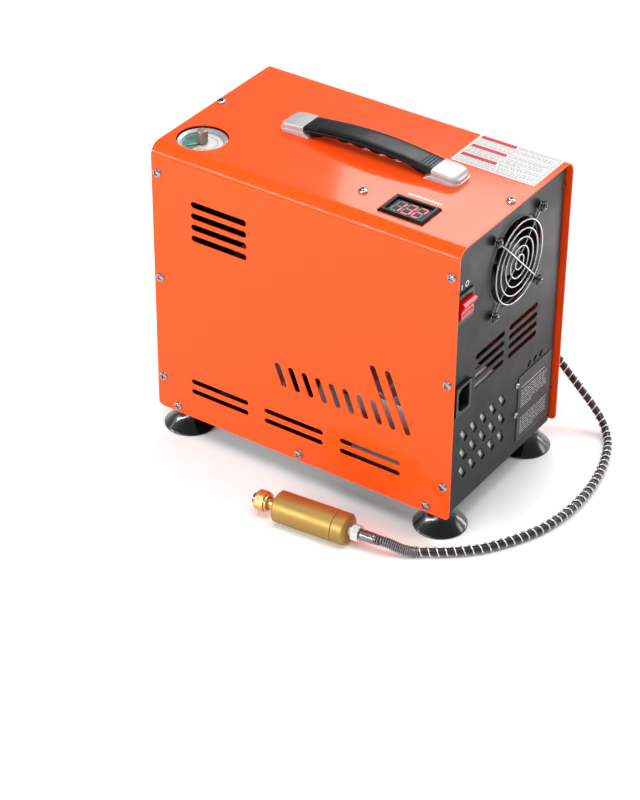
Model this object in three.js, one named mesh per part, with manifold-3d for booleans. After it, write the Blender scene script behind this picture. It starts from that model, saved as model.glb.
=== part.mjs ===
// Portable high-pressure air compressor in a folded sheet-metal box, with its delivery hose and filter.
// Millimetres, +Z up. +X runs along the long side to the end with fan, switch and mains inlet;
// the large front side faces -Y. Parts are drawn from the box's front, bottom, left corner,
// and moved at the end so that the origin is the middle of the footprint, on the floor.

import * as THREE from 'three';
import { mergeVertices } from 'three/addons/utils/BufferGeometryUtils.js';
import Module from 'manifold-3d';

const wasm = await Module();
wasm.setup();

// ---------- driving dimensions ----------

const BOX = { length: 320, depth: 190, height: 278 };
const SHEET = 1.5;
const GAP = 0.3;
const FOLD_RADIUS = 12;
const CORNER_RADIUS = 5;
const FOOT = { height: 24, radius: 25, neck: 12.5, inset: 21 };

const END_PANEL = { outside: BOX.length - 5, bend: 6, flange: 12 };
const FAN = { y: 103.5, z: 216.5, opening: 42, bore: 39.5, screwHalf: 37.5, frame: 82, thick: 25, hub: 17 };
const SWITCH = { y: 17.9, z: 214.7, width: 28, height: 29, proud: 2.2, bodyWidth: 22.6, bodyHeight: 22, tilt: 14 };
const INLET = { y: 20.6, z: 120.1, width: 24.4, height: 29.8, proud: 3, bodyWidth: 20.6, bodyHeight: 26.6 };
const PLATE = { y0: 122.3, y1: 180.5, z0: 12, z1: 83, thick: 0.8, screwY: 119.2 };

const GAUGE = { x: 30.5, y: 36, radius: 23.2, recess: 2.6, lens: 18.7, knob: 4.9, knobTop: 7.6, zero: 4.1 };
const METER = { x0: 225.5, x1: 271.5, y0: 18, y1: 50.5, proud: 2.7, border: 5 };
const LABEL = { x0: 230.5, x1: 315, y0: 128.5, y1: 183.5, thick: 0.3 };
const HANDLE = { x0: 76, x1: 263, y0: 86, y1: 114, cap: 27, rise: 10.3, crown: 5.3, band: 5 };

const MOTOR = { x0: 112, x1: 200, y: 95, z: 75, radius: 32, shaft: 4 };
const TOOTH_MODULE = 1.5;
const PINION_TEETH = 12;
const GEAR_TEETH = 36;
const CRANK_Z = MOTOR.z + TOOTH_MODULE * (PINION_TEETH + GEAR_TEETH) / 2;
const CRANK_THROW = 7;
const ROD_LENGTH = 45;
const CYLINDER = { x: 66, bore: 12, wall: 17, fin: 27, z0: 156.3, z1: 200 };
const CASE = { x0: 48, x1: 104, y0: 56, y1: 134, z0: 34, z1: 156, wall: 6 };

const OUTLET = { x: 278, z: 62 };
const BLEED = { x: 244, z: 62, radius: 8, end: 203 };
const HOSE_RADIUS = 5;
const FILTER = { x: 175.9, y: -56.9, angle: 5, radius: 15, body: 60, total: 73 };

// ---------- geometry helpers ----------

function toManifold(geometry) {
  const bare = geometry.clone();
  bare.deleteAttribute('normal');
  bare.deleteAttribute('uv');
  const welded = mergeVertices(bare, 1e-4);
  const mesh = new wasm.Mesh({
    numProp: 3,
    vertProperties: new Float32Array(welded.attributes.position.array),
    triVerts: new Uint32Array(welded.index.array),
  });
  mesh.merge();
  return new wasm.Manifold(mesh);
}

function toGeometry(solid) {
  const mesh = solid.getMesh();
  const geometry = new THREE.BufferGeometry();
  geometry.setAttribute('position', new THREE.BufferAttribute(mesh.vertProperties, mesh.numProp));
  geometry.setIndex(new THREE.BufferAttribute(mesh.triVerts, 1));
  const flat = geometry.toNonIndexed();
  flat.computeVertexNormals();
  return flat;
}

function join(...geometries) {
  const solids = geometries.map(toManifold);
  return toGeometry(solids.reduce((sum, solid) => sum.add(solid)));
}

function cut(base, ...tools) {
  const solids = tools.map(toManifold);
  return toGeometry(solids.reduce((rest, tool) => rest.subtract(tool), toManifold(base)));
}

function common(a, b) {
  return toGeometry(toManifold(a).intersect(toManifold(b)));
}

function box(x0, x1, y0, y1, z0, z1) {
  const geometry = new THREE.BoxGeometry(x1 - x0, y1 - y0, z1 - z0);
  return geometry.translate((x0 + x1) / 2, (y0 + y1) / 2, (z0 + z1) / 2);
}

// A shape drawn in (y, z), pushed along +X.
function alongX(shape, x0, x1, curveSegments = 6) {
  const geometry = new THREE.ExtrudeGeometry(shape, { depth: x1 - x0, bevelEnabled: false, curveSegments });
  return geometry.rotateX(Math.PI / 2).rotateZ(Math.PI / 2).translate(x0, 0, 0);
}

// A shape drawn in (x, z), pushed along +Y.
function alongY(shape, y0, y1, curveSegments = 6) {
  const geometry = new THREE.ExtrudeGeometry(shape, { depth: y1 - y0, bevelEnabled: false, curveSegments });
  return geometry.rotateX(Math.PI / 2).translate(0, y1, 0);
}

// A shape drawn in (x, y), pushed along +Z.
function alongZ(shape, z0, z1, curveSegments = 6) {
  const geometry = new THREE.ExtrudeGeometry(shape, { depth: z1 - z0, bevelEnabled: false, curveSegments });
  return geometry.translate(0, 0, z0);
}

function roundedRect(u0, u1, v0, v1, radius) {
  const shape = new THREE.Shape();
  shape.moveTo(u0 + radius, v0);
  shape.lineTo(u1 - radius, v0);
  shape.absarc(u1 - radius, v0 + radius, radius, -Math.PI / 2, 0);
  shape.lineTo(u1, v1 - radius);
  shape.absarc(u1 - radius, v1 - radius, radius, 0, Math.PI / 2);
  shape.lineTo(u0 + radius, v1);
  shape.absarc(u0 + radius, v1 - radius, radius, Math.PI / 2, Math.PI);
  shape.lineTo(u0, v0 + radius);
  shape.absarc(u0 + radius, v0 + radius, radius, Math.PI, 1.5 * Math.PI);
  return shape;
}

// A round-ended slot between two points, of the given width.
function slotShape(u0, v0, u1, v1, width) {
  const angle = Math.atan2(v1 - v0, u1 - u0);
  const radius = width / 2;
  const end = new THREE.Vector2(Math.cos(angle), Math.sin(angle)).multiplyScalar(radius);
  const shape = new THREE.Shape();
  shape.absarc(u1 - end.x, v1 - end.y, radius, angle - Math.PI / 2, angle + Math.PI / 2);
  shape.absarc(u0 + end.x, v0 + end.y, radius, angle + Math.PI / 2, angle + 1.5 * Math.PI);
  return shape;
}

function polygon(...points) {
  return new THREE.Shape(points.map(([u, v]) => new THREE.Vector2(u, v)));
}

function rod(radius, from, to, sides = 20) {
  const start = new THREE.Vector3(...from);
  const axis = new THREE.Vector3(...to).sub(start);
  const geometry = new THREE.CylinderGeometry(radius, radius, axis.length(), sides);
  const turn = new THREE.Quaternion().setFromUnitVectors(new THREE.Vector3(0, 1, 0), axis.clone().normalize());
  return geometry.applyQuaternion(turn).translate(...start.addScaledVector(axis, 0.5));
}

// A turned part: [radius, height] points, spun about +Z. The outline may run either way round.
function turned(points, sides = 24) {
  const profile = points.map(([radius, height]) => new THREE.Vector2(radius, height));
  if (THREE.ShapeUtils.area(profile) < 0) profile.reverse();
  return new THREE.LatheGeometry(profile, sides).rotateX(Math.PI / 2);
}

// The same with its axis along +X.
function turnedX(points, sides = 24) {
  return turned(points, sides).rotateY(Math.PI / 2);
}

function tube(points, radius, steps, sides = 8) {
  const path = new THREE.CatmullRomCurve3(points.map((p) => new THREE.Vector3(...p)), false, 'centripetal');
  const section = new THREE.Shape();
  for (let i = 0; i < sides; i += 1) {
    const angle = 2 * Math.PI * i / sides;
    const corner = [radius * Math.cos(angle), radius * Math.sin(angle)];
    if (i === 0) section.moveTo(...corner);
    else section.lineTo(...corner);
  }
  return new THREE.ExtrudeGeometry(section, { steps, extrudePath: path, bevelEnabled: false });
}

function ring(radius, wire, sides = 40) {
  return new THREE.TorusGeometry(radius, wire, 5, sides).rotateY(Math.PI / 2);
}

// ---------- materials and assembly ----------

const FINISH = {
  orange: { color: 0xf4511e, roughness: 0.38, metalness: 0.1 },
  charcoal: { color: 0x3a3b3d, roughness: 0.45, metalness: 0.2 },
  blackPlastic: { color: 0x141414, roughness: 0.5, metalness: 0 },
  blackGloss: { color: 0x0c0c0d, roughness: 0.18, metalness: 0 },
  rubber: { color: 0x111111, roughness: 0.25, metalness: 0 },
  satinSilver: { color: 0xd9dbdc, roughness: 0.3, metalness: 0.6 },
  chrome: { color: 0xc9cccf, roughness: 0.12, metalness: 1 },
  steel: { color: 0x8f9294, roughness: 0.35, metalness: 1 },
  aluminium: { color: 0xb5b8ba, roughness: 0.4, metalness: 1 },
  iron: { color: 0x55585a, roughness: 0.6, metalness: 0.7 },
  brass: { color: 0xb8912f, roughness: 0.35, metalness: 1 },
  copper: { color: 0xb06a3c, roughness: 0.3, metalness: 1 },
  red: { color: 0xd3202a, roughness: 0.25, metalness: 0 },
  paper: { color: 0xf1f1f1, roughness: 0.6, metalness: 0 },
  glass: { color: 0xdfe8ea, roughness: 0.05, metalness: 0, transparent: true, opacity: 0.35 },
};

const assembly = new THREE.Group();
assembly.name = 'air_compressor';

const boxFrame = new THREE.Group();
boxFrame.name = 'box_frame';
assembly.add(boxFrame);

const hoseEnd = new THREE.Group();
hoseEnd.name = 'hose_end';
hoseEnd.position.set(FILTER.x, FILTER.y, FILTER.radius - FOOT.height);
hoseEnd.rotation.z = THREE.MathUtils.degToRad(FILTER.angle);
boxFrame.add(hoseEnd);

function add(name, geometry, finish, parent = boxFrame) {
  const mesh = new THREE.Mesh(geometry, new THREE.MeshStandardMaterial(FINISH[finish]));
  mesh.name = name;
  parent.add(mesh);
  return mesh;
}

// ---------- cover: one sheet folded over front, top and back ----------

function foldedSheet() {
  const outer = new THREE.Shape();
  const inner = BOX.depth - SHEET;
  const bend = FOLD_RADIUS - SHEET;
  outer.moveTo(0, 0);
  outer.lineTo(SHEET, 0);
  outer.lineTo(SHEET, BOX.height - FOLD_RADIUS);
  outer.absarc(FOLD_RADIUS, BOX.height - FOLD_RADIUS, bend, Math.PI, Math.PI / 2, true);
  outer.lineTo(BOX.depth - FOLD_RADIUS, BOX.height - SHEET);
  outer.absarc(BOX.depth - FOLD_RADIUS, BOX.height - FOLD_RADIUS, bend, Math.PI / 2, 0, true);
  outer.lineTo(inner, 0);
  outer.lineTo(BOX.depth, 0);
  outer.lineTo(BOX.depth, BOX.height - FOLD_RADIUS);
  outer.absarc(BOX.depth - FOLD_RADIUS, BOX.height - FOLD_RADIUS, FOLD_RADIUS, 0, Math.PI / 2);
  outer.lineTo(FOLD_RADIUS, BOX.height);
  outer.absarc(FOLD_RADIUS, BOX.height - FOLD_RADIUS, FOLD_RADIUS, Math.PI / 2, Math.PI);
  return alongX(outer, 0, BOX.length, 5);
}

function frontSlots() {
  const slots = [];
  for (const z of [231, 219.5, 208, 196.5]) {
    slots.push(slotShape(42.5, z, 103, z, 6.8));
  }
  for (const z of [40.7, 29.8]) {
    for (const x of [38.8, 121, 203.5]) {
      slots.push(slotShape(x, z, x + 64.5, z, 5.7));
    }
  }
  for (let i = 0; i < 8; i += 1) {
    const x = 134.5 + 14.6 * i;
    slots.push(slotShape(x, 98, x + 9.3, 74.5, 6.2));
  }
  for (const x of [235.5, 251.2]) {
    slots.push(slotShape(x, 134, x + 24.5, 74.5, 6.2));
  }
  return slots;
}

function backSlots() {
  const slots = [];
  for (const z of [231, 219.5, 208, 196.5]) {
    slots.push(slotShape(42.5, z, 103, z, 6.8));
    slots.push(slotShape(217, z, 277.5, z, 6.8));
  }
  return slots;
}

function cover() {
  const side = roundedRect(0, BOX.length, 0, BOX.height + 20, CORNER_RADIUS);
  const blank = common(foldedSheet(), alongY(side, -1, BOX.depth + 1, 3));
  const front = frontSlots().map((shape) => alongY(shape, -1, SHEET + 1, 2));
  const back = backSlots().map((shape) => alongY(shape, BOX.depth - SHEET - 1, BOX.depth + 1, 2));
  const gaugeHole = rod(GAUGE.radius + GAP, [GAUGE.x, GAUGE.y, 270], [GAUGE.x, GAUGE.y, 285], 40);
  const meterHole = box(METER.x0 + 2, METER.x1 - 2, METER.y0 + 2, METER.y1 - 2, 270, 285);
  const outletHole = rod(6.3, [OUTLET.x, 180, OUTLET.z], [OUTLET.x, 200, OUTLET.z]);
  const bleedHole = rod(4, [BLEED.x, 180, BLEED.z], [BLEED.x, 200, BLEED.z], 16);
  return cut(blank, ...front, ...back, gaugeHole, meterHole, outletHole, bleedHole);
}

add('cover', cover(), 'orange');

// ---------- chassis: floor and both end panels from one sheet, with flanges for the cover screws ----------

const PANEL_X = END_PANEL.outside;

// Four rows of level slots above a given height.
function ventSlots(low) {
  const shapes = [];
  for (const z of [low + 30, low + 20, low + 10, low]) {
    shapes.push(slotShape(43, z, 92, z, 5.6));
    shapes.push(slotShape(100, z, 149, z, 5.6));
  }
  return shapes;
}

// The right end's short slots: three above the rating plate and one beside the inlet.
function shortSlots() {
  const shapes = [slotShape(34.9, 103.2, 37.6, 106.6, 2.8)];
  for (const y of [140.2, 150.7, 161.3]) {
    shapes.push(slotShape(y - 2.5, 86.3, y + 2.5, 91.5, 3.6));
  }
  return shapes;
}

// Fifteen leaning slots with square ends, on a lattice of five columns and three rows.
function ventField() {
  const lean = THREE.MathUtils.degToRad(-58);
  const along = new THREE.Vector2(Math.cos(lean), Math.sin(lean)).multiplyScalar(7.8);
  const across = new THREE.Vector2(-Math.sin(lean), Math.cos(lean)).multiplyScalar(2.9);
  const shapes = [];
  for (let column = 0; column < 5; column += 1) {
    for (let row = 0; row < 3; row += 1) {
      const middle = new THREE.Vector2(29 + 16.4 * column, 35 + 19.8 * row);
      const corners = [[1, 1], [-1, 1], [-1, -1], [1, -1]];
      shapes.push(new THREE.Shape(corners.map(([a, b]) => (
        middle.clone().addScaledVector(along, a).addScaledVector(across, b)))));
    }
  }
  return shapes;
}

function panelOpening(part) {
  return box(
    PANEL_X - 4, PANEL_X + 2,
    part.y - part.bodyWidth / 2 - GAP, part.y + part.bodyWidth / 2 + GAP,
    part.z - part.bodyHeight / 2 - GAP, part.z + part.bodyHeight / 2 + GAP);
}

function fanScrewPlaces() {
  const places = [];
  for (const side of [-1, 1]) {
    for (const level of [-1, 1]) {
      places.push([FAN.y + side * FAN.screwHalf, FAN.z + level * FAN.screwHalf]);
    }
  }
  return places;
}

const PLATE_SCREWS = [[PLATE.screwY, 43.9], [PLATE.screwY, 76.4]];

// A closed folded box, drawn inset from the cover by the given amount.
function foldedShell(inset) {
  const x0 = BOX.length - PANEL_X + inset;
  const y0 = SHEET + GAP + inset;
  const top = BOX.height - SHEET - GAP - inset;
  const walls = alongZ(
    roundedRect(x0, BOX.length - x0, y0, BOX.depth - y0, END_PANEL.bend - inset), 1 + inset, top, 4);
  const crown = alongX(
    roundedRect(y0, BOX.depth - y0, -40, top, FOLD_RADIUS - SHEET - inset), 0, BOX.length, 5);
  return common(walls, crown);
}

function chassis() {
  const flange = BOX.length - PANEL_X + END_PANEL.flange;
  const window = box(flange, BOX.length - flange, -1, BOX.depth + 1, 14, BOX.height + 1);
  const gaugeRoom = rod(GAUGE.radius + 0.5, [GAUGE.x, GAUGE.y, 225], [GAUGE.x, GAUGE.y, 280], 32);
  const fanHole = rod(FAN.opening, [PANEL_X - 4, FAN.y, FAN.z], [PANEL_X + 2, FAN.y, FAN.z], 44);
  const through = (radius) => ([y, z]) => rod(radius, [PANEL_X - 4, y, z], [PANEL_X + 2, y, z], 12);
  const right = [...ventSlots(118), ...shortSlots(), ...ventField()].map(
    (shape) => alongX(shape, PANEL_X - SHEET - 1, PANEL_X + 1, 2));
  const left = [...ventSlots(202), ...ventField()].map(
    (shape) => alongX(shape, BOX.length - PANEL_X - 1, BOX.length - PANEL_X + SHEET + 1, 2));
  return cut(
    foldedShell(0), foldedShell(SHEET), window, gaugeRoom, fanHole, panelOpening(SWITCH), panelOpening(INLET),
    ...fanScrewPlaces().map(through(2.2)), ...PLATE_SCREWS.map(through(1.8)), ...right, ...left);
}

add('chassis', chassis(), 'charcoal');

// ---------- feet: flared rubber cups under the four corners ----------

function foot() {
  const { height, radius, neck } = FOOT;
  return turned([
    [0, 1 - GAP], [neck, 1 - GAP], [neck, -5], [neck + 1.5, -9.5], [neck + 4.5, -14],
    [neck + 8.5, -18.5], [radius, -height + 1], [radius, -height], [radius - 1.4, -height],
    [radius - 6, 4 - height], [radius - 14, 6.5 - height], [0, 6.5 - height],
  ]);
}

for (const [end, x] of [['left', FOOT.inset], ['right', BOX.length - FOOT.inset]]) {
  for (const [side, y] of [['front', FOOT.inset], ['back', BOX.depth - FOOT.inset]]) {
    add(`foot_${side}_${end}`, foot().translate(x, y, 0), 'rubber');
  }
}

// ---------- carry handle: a bowed grip held by two end caps ----------

const HANDLE_MID = (HANDLE.x0 + HANDLE.x1) / 2;

// Left cap; the right one is its mirror image.
function handleCap() {
  const { x0, y0, y1, cap, rise } = HANDLE;
  const side = polygon(
    [x0, GAP], [x0, 3.2], [x0 + 1.6, 5.8], [x0 + 5.5, 8], [x0 + 14, 9.6], [x0 + cap, rise],
    [x0 + cap + 0.8, 6.5], [x0 + cap + 6.5, 1.6], [x0 + cap + 6.5, GAP]);
  const plan = roundedRect(x0, x0 + cap + 20, y0, y1, 8);
  return common(alongY(side, y0, y1), alongZ(plan, -1, rise + 2, 5));
}

function gripTop(x) {
  const start = HANDLE.x0 + HANDLE.cap;
  const span = HANDLE.x1 - HANDLE.cap - start;
  return HANDLE.rise - 0.2 + HANDLE.crown * Math.sin(Math.PI * (x - start) / span);
}

function grip() {
  const { x0, x1, y0, y1, cap, band } = HANDLE;
  const steps = 24;
  const bandShape = new THREE.Shape();
  const start = x0 + cap + 0.6;
  const end = x1 - cap - 0.6;
  bandShape.moveTo(start, gripTop(start));
  for (let i = 1; i <= steps; i += 1) {
    const x = start + (end - start) * i / steps;
    bandShape.lineTo(x, gripTop(x));
  }
  for (let i = 0; i <= steps; i += 1) {
    const x = end - 0.5 - (end - start - 1) * i / steps;
    bandShape.lineTo(x, gripTop(x) - band + (i === 0 || i === steps ? 1.2 : 0));
  }
  const ribShape = new THREE.Shape();
  ribShape.moveTo(start + 1.5, gripTop(start) - band + 1.6);
  ribShape.lineTo(start + 7, 2.2);
  ribShape.lineTo(start + 15, 3.4);
  ribShape.lineTo(start + 26, 7.6);
  const fingers = 4;
  const pitch = 17;
  const perFinger = 6;
  for (let i = 0; i <= fingers * perFinger; i += 1) {
    const x = HANDLE_MID + pitch * (i / perFinger - fingers / 2);
    ribShape.lineTo(x, 7.4 - 0.9 * Math.cos(2 * Math.PI * i / perFinger));
  }
  ribShape.lineTo(end - 26, 7.6);
  ribShape.lineTo(end - 15, 3.4);
  ribShape.lineTo(end - 7, 2.2);
  ribShape.lineTo(end - 1.5, gripTop(end) - band + 1.6);
  for (let i = 0; i <= steps; i += 1) {
    const x = end - 2 - (end - start - 4) * i / steps;
    ribShape.lineTo(x, gripTop(x) - band + 2);
  }
  return join(alongY(bandShape, y0 + 0.6, y1 - 0.6), alongY(ribShape, y0 + 4.5, y1 - 4.5));
}

const leftCap = handleCap();
const rightCap = toGeometry(toManifold(leftCap).mirror([1, 0, 0])).translate(2 * HANDLE_MID, 0, 0);
add('handle_cap_left', leftCap.translate(0, 0, BOX.height), 'satinSilver');
add('handle_cap_right', rightCap.translate(0, 0, BOX.height), 'satinSilver');
add('handle_grip', grip().translate(0, 0, BOX.height), 'blackPlastic');

// ---------- pressure gauge, set into the top, with its cut-off pointer and set knob ----------

function needle(length, tail, width, z0, z1) {
  const blade = polygon([-tail, -width], [length, -0.25], [length, 0.25], [-tail, width]);
  return alongZ(blade, z0, z1);
}

const gauge = new THREE.Group();
gauge.name = 'gauge';
gauge.position.set(GAUGE.x, GAUGE.y, BOX.height - GAUGE.recess);
boxFrame.add(gauge);

const gaugeCase = turned([
  [0, -40.5], [5.5, -40.5], [5.5, -32], [20, -32], [22.6, -29.5], [22.6, -5.2], [1.7, -5.2], [1.7, -9], [0, -9]]);
const gaugeBezel = turned([
  [GAUGE.lens + GAP, -4.9], [GAUGE.radius, -4.9], [GAUGE.radius, -1], [GAUGE.radius - 1, 0],
  [GAUGE.radius - 2.4, 0], [GAUGE.lens + GAP, -1.6], [GAUGE.lens + GAP, -4.9]], 40);
const gaugeLens = turned([
  [2.3, -2.8], [GAUGE.lens, -2.8], [GAUGE.lens, -1.9], [2.3, -1.9], [2.3, -2.8]], 36);
const gaugeDial = turned([
  [1.6, -4.9], [GAUGE.lens, -4.9], [GAUGE.lens, -4.4], [1.6, -4.4], [1.6, -4.9]], 36);
const pointerHub = turned([[0, -8], [1.2, -8], [1.2, -4.2], [2.6, -4.2], [2.6, -3.8], [0, -3.8]], 16);
const setHub = turned([[0, -3.6], [2.8, -3.6], [2.8, -3.2], [0, -3.2]], 16);
const knobTop = GAUGE.recess + GAUGE.knobTop;
const setKnob = turned([
  [0, -2.9], [2, -2.9], [2, -1.6], [GAUGE.knob, -1.6], [GAUGE.knob, knobTop - 1], [GAUGE.knob - 0.8, knobTop],
  [0, knobTop]], 24);

add('gauge_case', gaugeCase, 'iron', gauge);
add('gauge_bezel', gaugeBezel, 'chrome', gauge);
add('gauge_lens', gaugeLens, 'glass', gauge);
add('gauge_dial', gaugeDial, 'paper', gauge);
add('gauge_pointer', join(pointerHub, needle(15.5, 4.5, 0.9, -4.2, -3.8).rotateZ(GAUGE.zero)), 'blackPlastic', gauge);
add('gauge_set_pointer', join(setHub, needle(14.5, 2.5, 1.1, -3.6, -3.2).rotateZ(GAUGE.zero - 0.06)), 'paper', gauge);
add('gauge_knob', setKnob, 'steel', gauge);

// ---------- panel meter and label on the top ----------

function meterHousing() {
  const { x0, x1, y0, y1, proud, border } = METER;
  const top = BOX.height;
  const flange = new THREE.Shape();
  flange.moveTo(x0, 0.2);
  flange.lineTo(x1, 0.2);
  flange.lineTo(x1, 0.8);
  flange.lineTo(x1 - 2, proud);
  flange.lineTo(x0 + 2, proud);
  flange.lineTo(x0, 0.8);
  const rim = alongY(flange, y0, y1).translate(0, 0, top);
  const body = box(x0 + 2.4, x1 - 2.4, y0 + 2.4, y1 - 2.4, top - 26, top + 1);
  const window = box(x0 + border, x1 - border, y0 + border, y1 - border, top - 2, top + 5);
  return cut(join(rim, body), window);
}

function meterWindow() {
  const { x0, x1, y0, y1, border } = METER;
  const inset = border + GAP;
  return box(x0 + inset, x1 - inset, y0 + inset, y1 - inset, BOX.height - 1.7, BOX.height + 0.6);
}

add('meter_housing', meterHousing(), 'blackPlastic');
add('meter_window', meterWindow(), 'blackGloss');
add('safety_label', box(
  LABEL.x0, LABEL.x1, LABEL.y0, LABEL.y1, BOX.height + 0.1, BOX.height + 0.1 + LABEL.thick), 'paper');

// ---------- cooling fan behind the end panel, with its wire guard ----------

function fanFrame() {
  const half = FAN.frame / 2;
  const x1 = PANEL_X - SHEET - GAP;
  const x0 = x1 - FAN.thick;
  const square = roundedRect(FAN.y - half, FAN.y + half, FAN.z - half, FAN.z + half, 4);
  const shell = alongX(square, x0, x1, 3);
  const bore = rod(FAN.bore, [x0 - 1, FAN.y, FAN.z], [x1 + 1, FAN.y, FAN.z], 36);
  const waist = [];
  for (const [y, z] of fanScrewPlaces()) {
    waist.push(rod(2.2, [x0 - 1, y, z], [x1 + 1, y, z], 12));
  }
  const spider = [rod(FAN.hub, [x0, FAN.y, FAN.z], [x0 + 2.5, FAN.y, FAN.z], 24)];
  spider.push(rod(2, [x0 + 1, FAN.y, FAN.z], [x0 + 12, FAN.y, FAN.z], 12));
  for (let i = 0; i < 4; i += 1) {
    const arm = box(x0, x0 + 2.5, -2, 2, FAN.hub - 2, FAN.bore + 1).rotateX(Math.PI / 4 + i * Math.PI / 2);
    spider.push(arm.translate(0, FAN.y, FAN.z));
  }
  return join(cut(shell, bore, ...waist), ...spider);
}

function fanRotor() {
  const blades = 7;
  const hub = turnedX([[2.3, 3.5], [FAN.hub, 3.5], [FAN.hub, 21], [FAN.hub - 2, 23], [0, 23], [0, 14], [2.3, 14], [2.3, 3.5]], 28);
  const parts = [hub];
  for (let i = 0; i < blades; i += 1) {
    const blade = new THREE.BoxGeometry(16, 1.5, 22).translate(0, 0, FAN.hub - 1.5 + 11);
    blade.rotateZ(THREE.MathUtils.degToRad(48));
    parts.push(blade.translate(12.5, 0, 0).rotateX(2 * Math.PI * i / blades));
  }
  return join(...parts).translate(PANEL_X - SHEET - GAP - FAN.thick, FAN.y, FAN.z);
}

// Five rings welded on two crossed wires, whose ends are bent round the screws.
function fanGuard() {
  const wire = 0.9;
  const ringPlane = PANEL_X + 3.4;
  const legPlane = PANEL_X + 2;
  const parts = [];
  for (let i = 0; i < 5; i += 1) {
    parts.push(ring(7 + 8 * i, wire, 16 + 4 * i).translate(ringPlane, FAN.y, FAN.z));
  }
  const reach = FAN.screwHalf - 3.4 * Math.SQRT1_2;
  for (const lean of [-1, 1]) {
    parts.push(rod(
      wire, [legPlane, FAN.y - reach, FAN.z - lean * reach], [legPlane, FAN.y + reach, FAN.z + lean * reach], 6));
  }
  for (const [y, z] of fanScrewPlaces()) {
    parts.push(ring(3.4, wire, 10).translate(legPlane, y, z));
  }
  return join(...parts);
}

function domedScrew(radius, rise, shank, length) {
  return turnedX([
    [0, -length], [shank, -length], [shank, 0], [radius, 0], [radius, 0.25 * rise], [0.86 * radius, 0.6 * rise],
    [0.5 * radius, 0.92 * rise], [0, rise]], 14);
}

add('fan_frame', fanFrame(), 'blackPlastic');
add('fan_rotor', fanRotor(), 'blackPlastic');
add('fan_guard', fanGuard(), 'chrome');
fanScrewPlaces().forEach(([y, z], i) => {
  add(`fan_screw_${i + 1}`, domedScrew(4.8, 3.6, 1.9, 24).translate(PANEL_X + 3.2, y, z), 'blackGloss');
});

// ---------- rocker switch ----------

function switchHousing() {
  const { y, z, width, height, proud, bodyWidth, bodyHeight } = SWITCH;
  const at = (x0, x1, w, h) => box(x0, x1, y - w / 2, y + w / 2, z - h / 2, z + h / 2);
  const flange = at(PANEL_X + GAP, PANEL_X + proud, width, height);
  const body = at(PANEL_X - 22, PANEL_X + 1, bodyWidth, bodyHeight);
  return cut(join(flange, body), at(PANEL_X - 20, PANEL_X + 5, bodyWidth - 2, bodyHeight - 2.4));
}

// Saddle-shaped key with its upper end standing out; it turns on a line along Y.
function switchKey() {
  const shape = polygon(
    [-7, -6], [1, -9.2], [4, -7.4], [2.2, 0], [4, 7.4], [1, 9.2], [-7, 6]);
  const half = SWITCH.bodyWidth / 2 - 1.3;
  const key = alongY(shape, -half, half);
  return key.rotateY(THREE.MathUtils.degToRad(SWITCH.tilt)).translate(PANEL_X + 2.2, SWITCH.y, SWITCH.z);
}

add('switch_housing', switchHousing(), 'blackPlastic');
add('switch_key', switchKey(), 'red');

// ---------- mains inlet with its three pins ----------

const PINS = [['live', 1.5, 7], ['neutral', 1.5, -7], ['earth', -3.4, 0]];

function inletHousing() {
  const { y, z, width, height, proud, bodyWidth, bodyHeight } = INLET;
  const at = (x0, x1, w, h) => box(x0, x1, y - w / 2, y + w / 2, z - h / 2, z + h / 2);
  const flange = at(PANEL_X + GAP, PANEL_X + proud, width, height);
  const body = at(PANEL_X - 18, PANEL_X + 1, bodyWidth, bodyHeight);
  const halfY = bodyWidth / 2 - 1.3;
  const halfZ = bodyHeight / 2 - 1.3;
  const nose = polygon(
    [y - halfY, z - halfZ + 4.5], [y - halfY + 4.5, z - halfZ], [y + halfY, z - halfZ], [y + halfY, z + halfZ],
    [y - halfY + 4.5, z + halfZ], [y - halfY, z + halfZ - 4.5]);
  const socket = alongX(nose, PANEL_X - 14.5, PANEL_X + 6);
  const seats = PINS.map(([, dy, dz]) => (
    box(PANEL_X - 19, PANEL_X - 14, y + dy - 2.3, y + dy + 2.3, z + dz - 1.3, z + dz + 1.3)));
  return cut(join(flange, body), socket, ...seats);
}

add('inlet_housing', inletHousing(), 'blackPlastic');
for (const [name, dy, dz] of PINS) {
  const y = INLET.y + dy;
  const z = INLET.z + dz;
  add(`inlet_pin_${name}`, box(PANEL_X - 22, PANEL_X - 3.5, y - 2, y + 2, z - 1, z + 1), 'steel');
}

// ---------- rating plate ----------

add('rating_plate', box(
  PANEL_X + 0.1, PANEL_X + 0.1 + PLATE.thick, PLATE.y0, PLATE.y1, PLATE.z0, PLATE.z1), 'charcoal');
PLATE_SCREWS.forEach(([y, z], i) => {
  add(`plate_screw_${i + 1}`, domedScrew(2.8, 2, 1.4, 8).translate(PANEL_X + GAP, y, z), 'chrome');
});

// ---------- motor, gear pair and two-stage compressor ----------

function mountPlate() {
  const plate = box(42, 203, 40, 150, 2.8, 6);
  const pedestal = box(52, 102, 70, 120, 5, CASE.z0 - GAP);
  const saddle = box(130, 182, 76, 114, 5, MOTOR.z - 14);
  const trough = rod(MOTOR.radius + GAP, [120, MOTOR.y, MOTOR.z], [195, MOTOR.y, MOTOR.z], 40);
  return cut(join(plate, pedestal, saddle), trough);
}

function motorBody() {
  const { x0, x1, radius, shaft } = MOTOR;
  const bore = shaft + GAP;
  return turnedX([
    [bore, CASE.x1 + GAP], [12, CASE.x1 + GAP], [12, x0], [radius - 2, x0], [radius, x0 + 2], [radius, x1 - 8],
    [radius - 3, x1 - 2], [12, x1], [bore, x1], [bore, CASE.x1 + GAP]], 32).translate(0, MOTOR.y, MOTOR.z);
}

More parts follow.
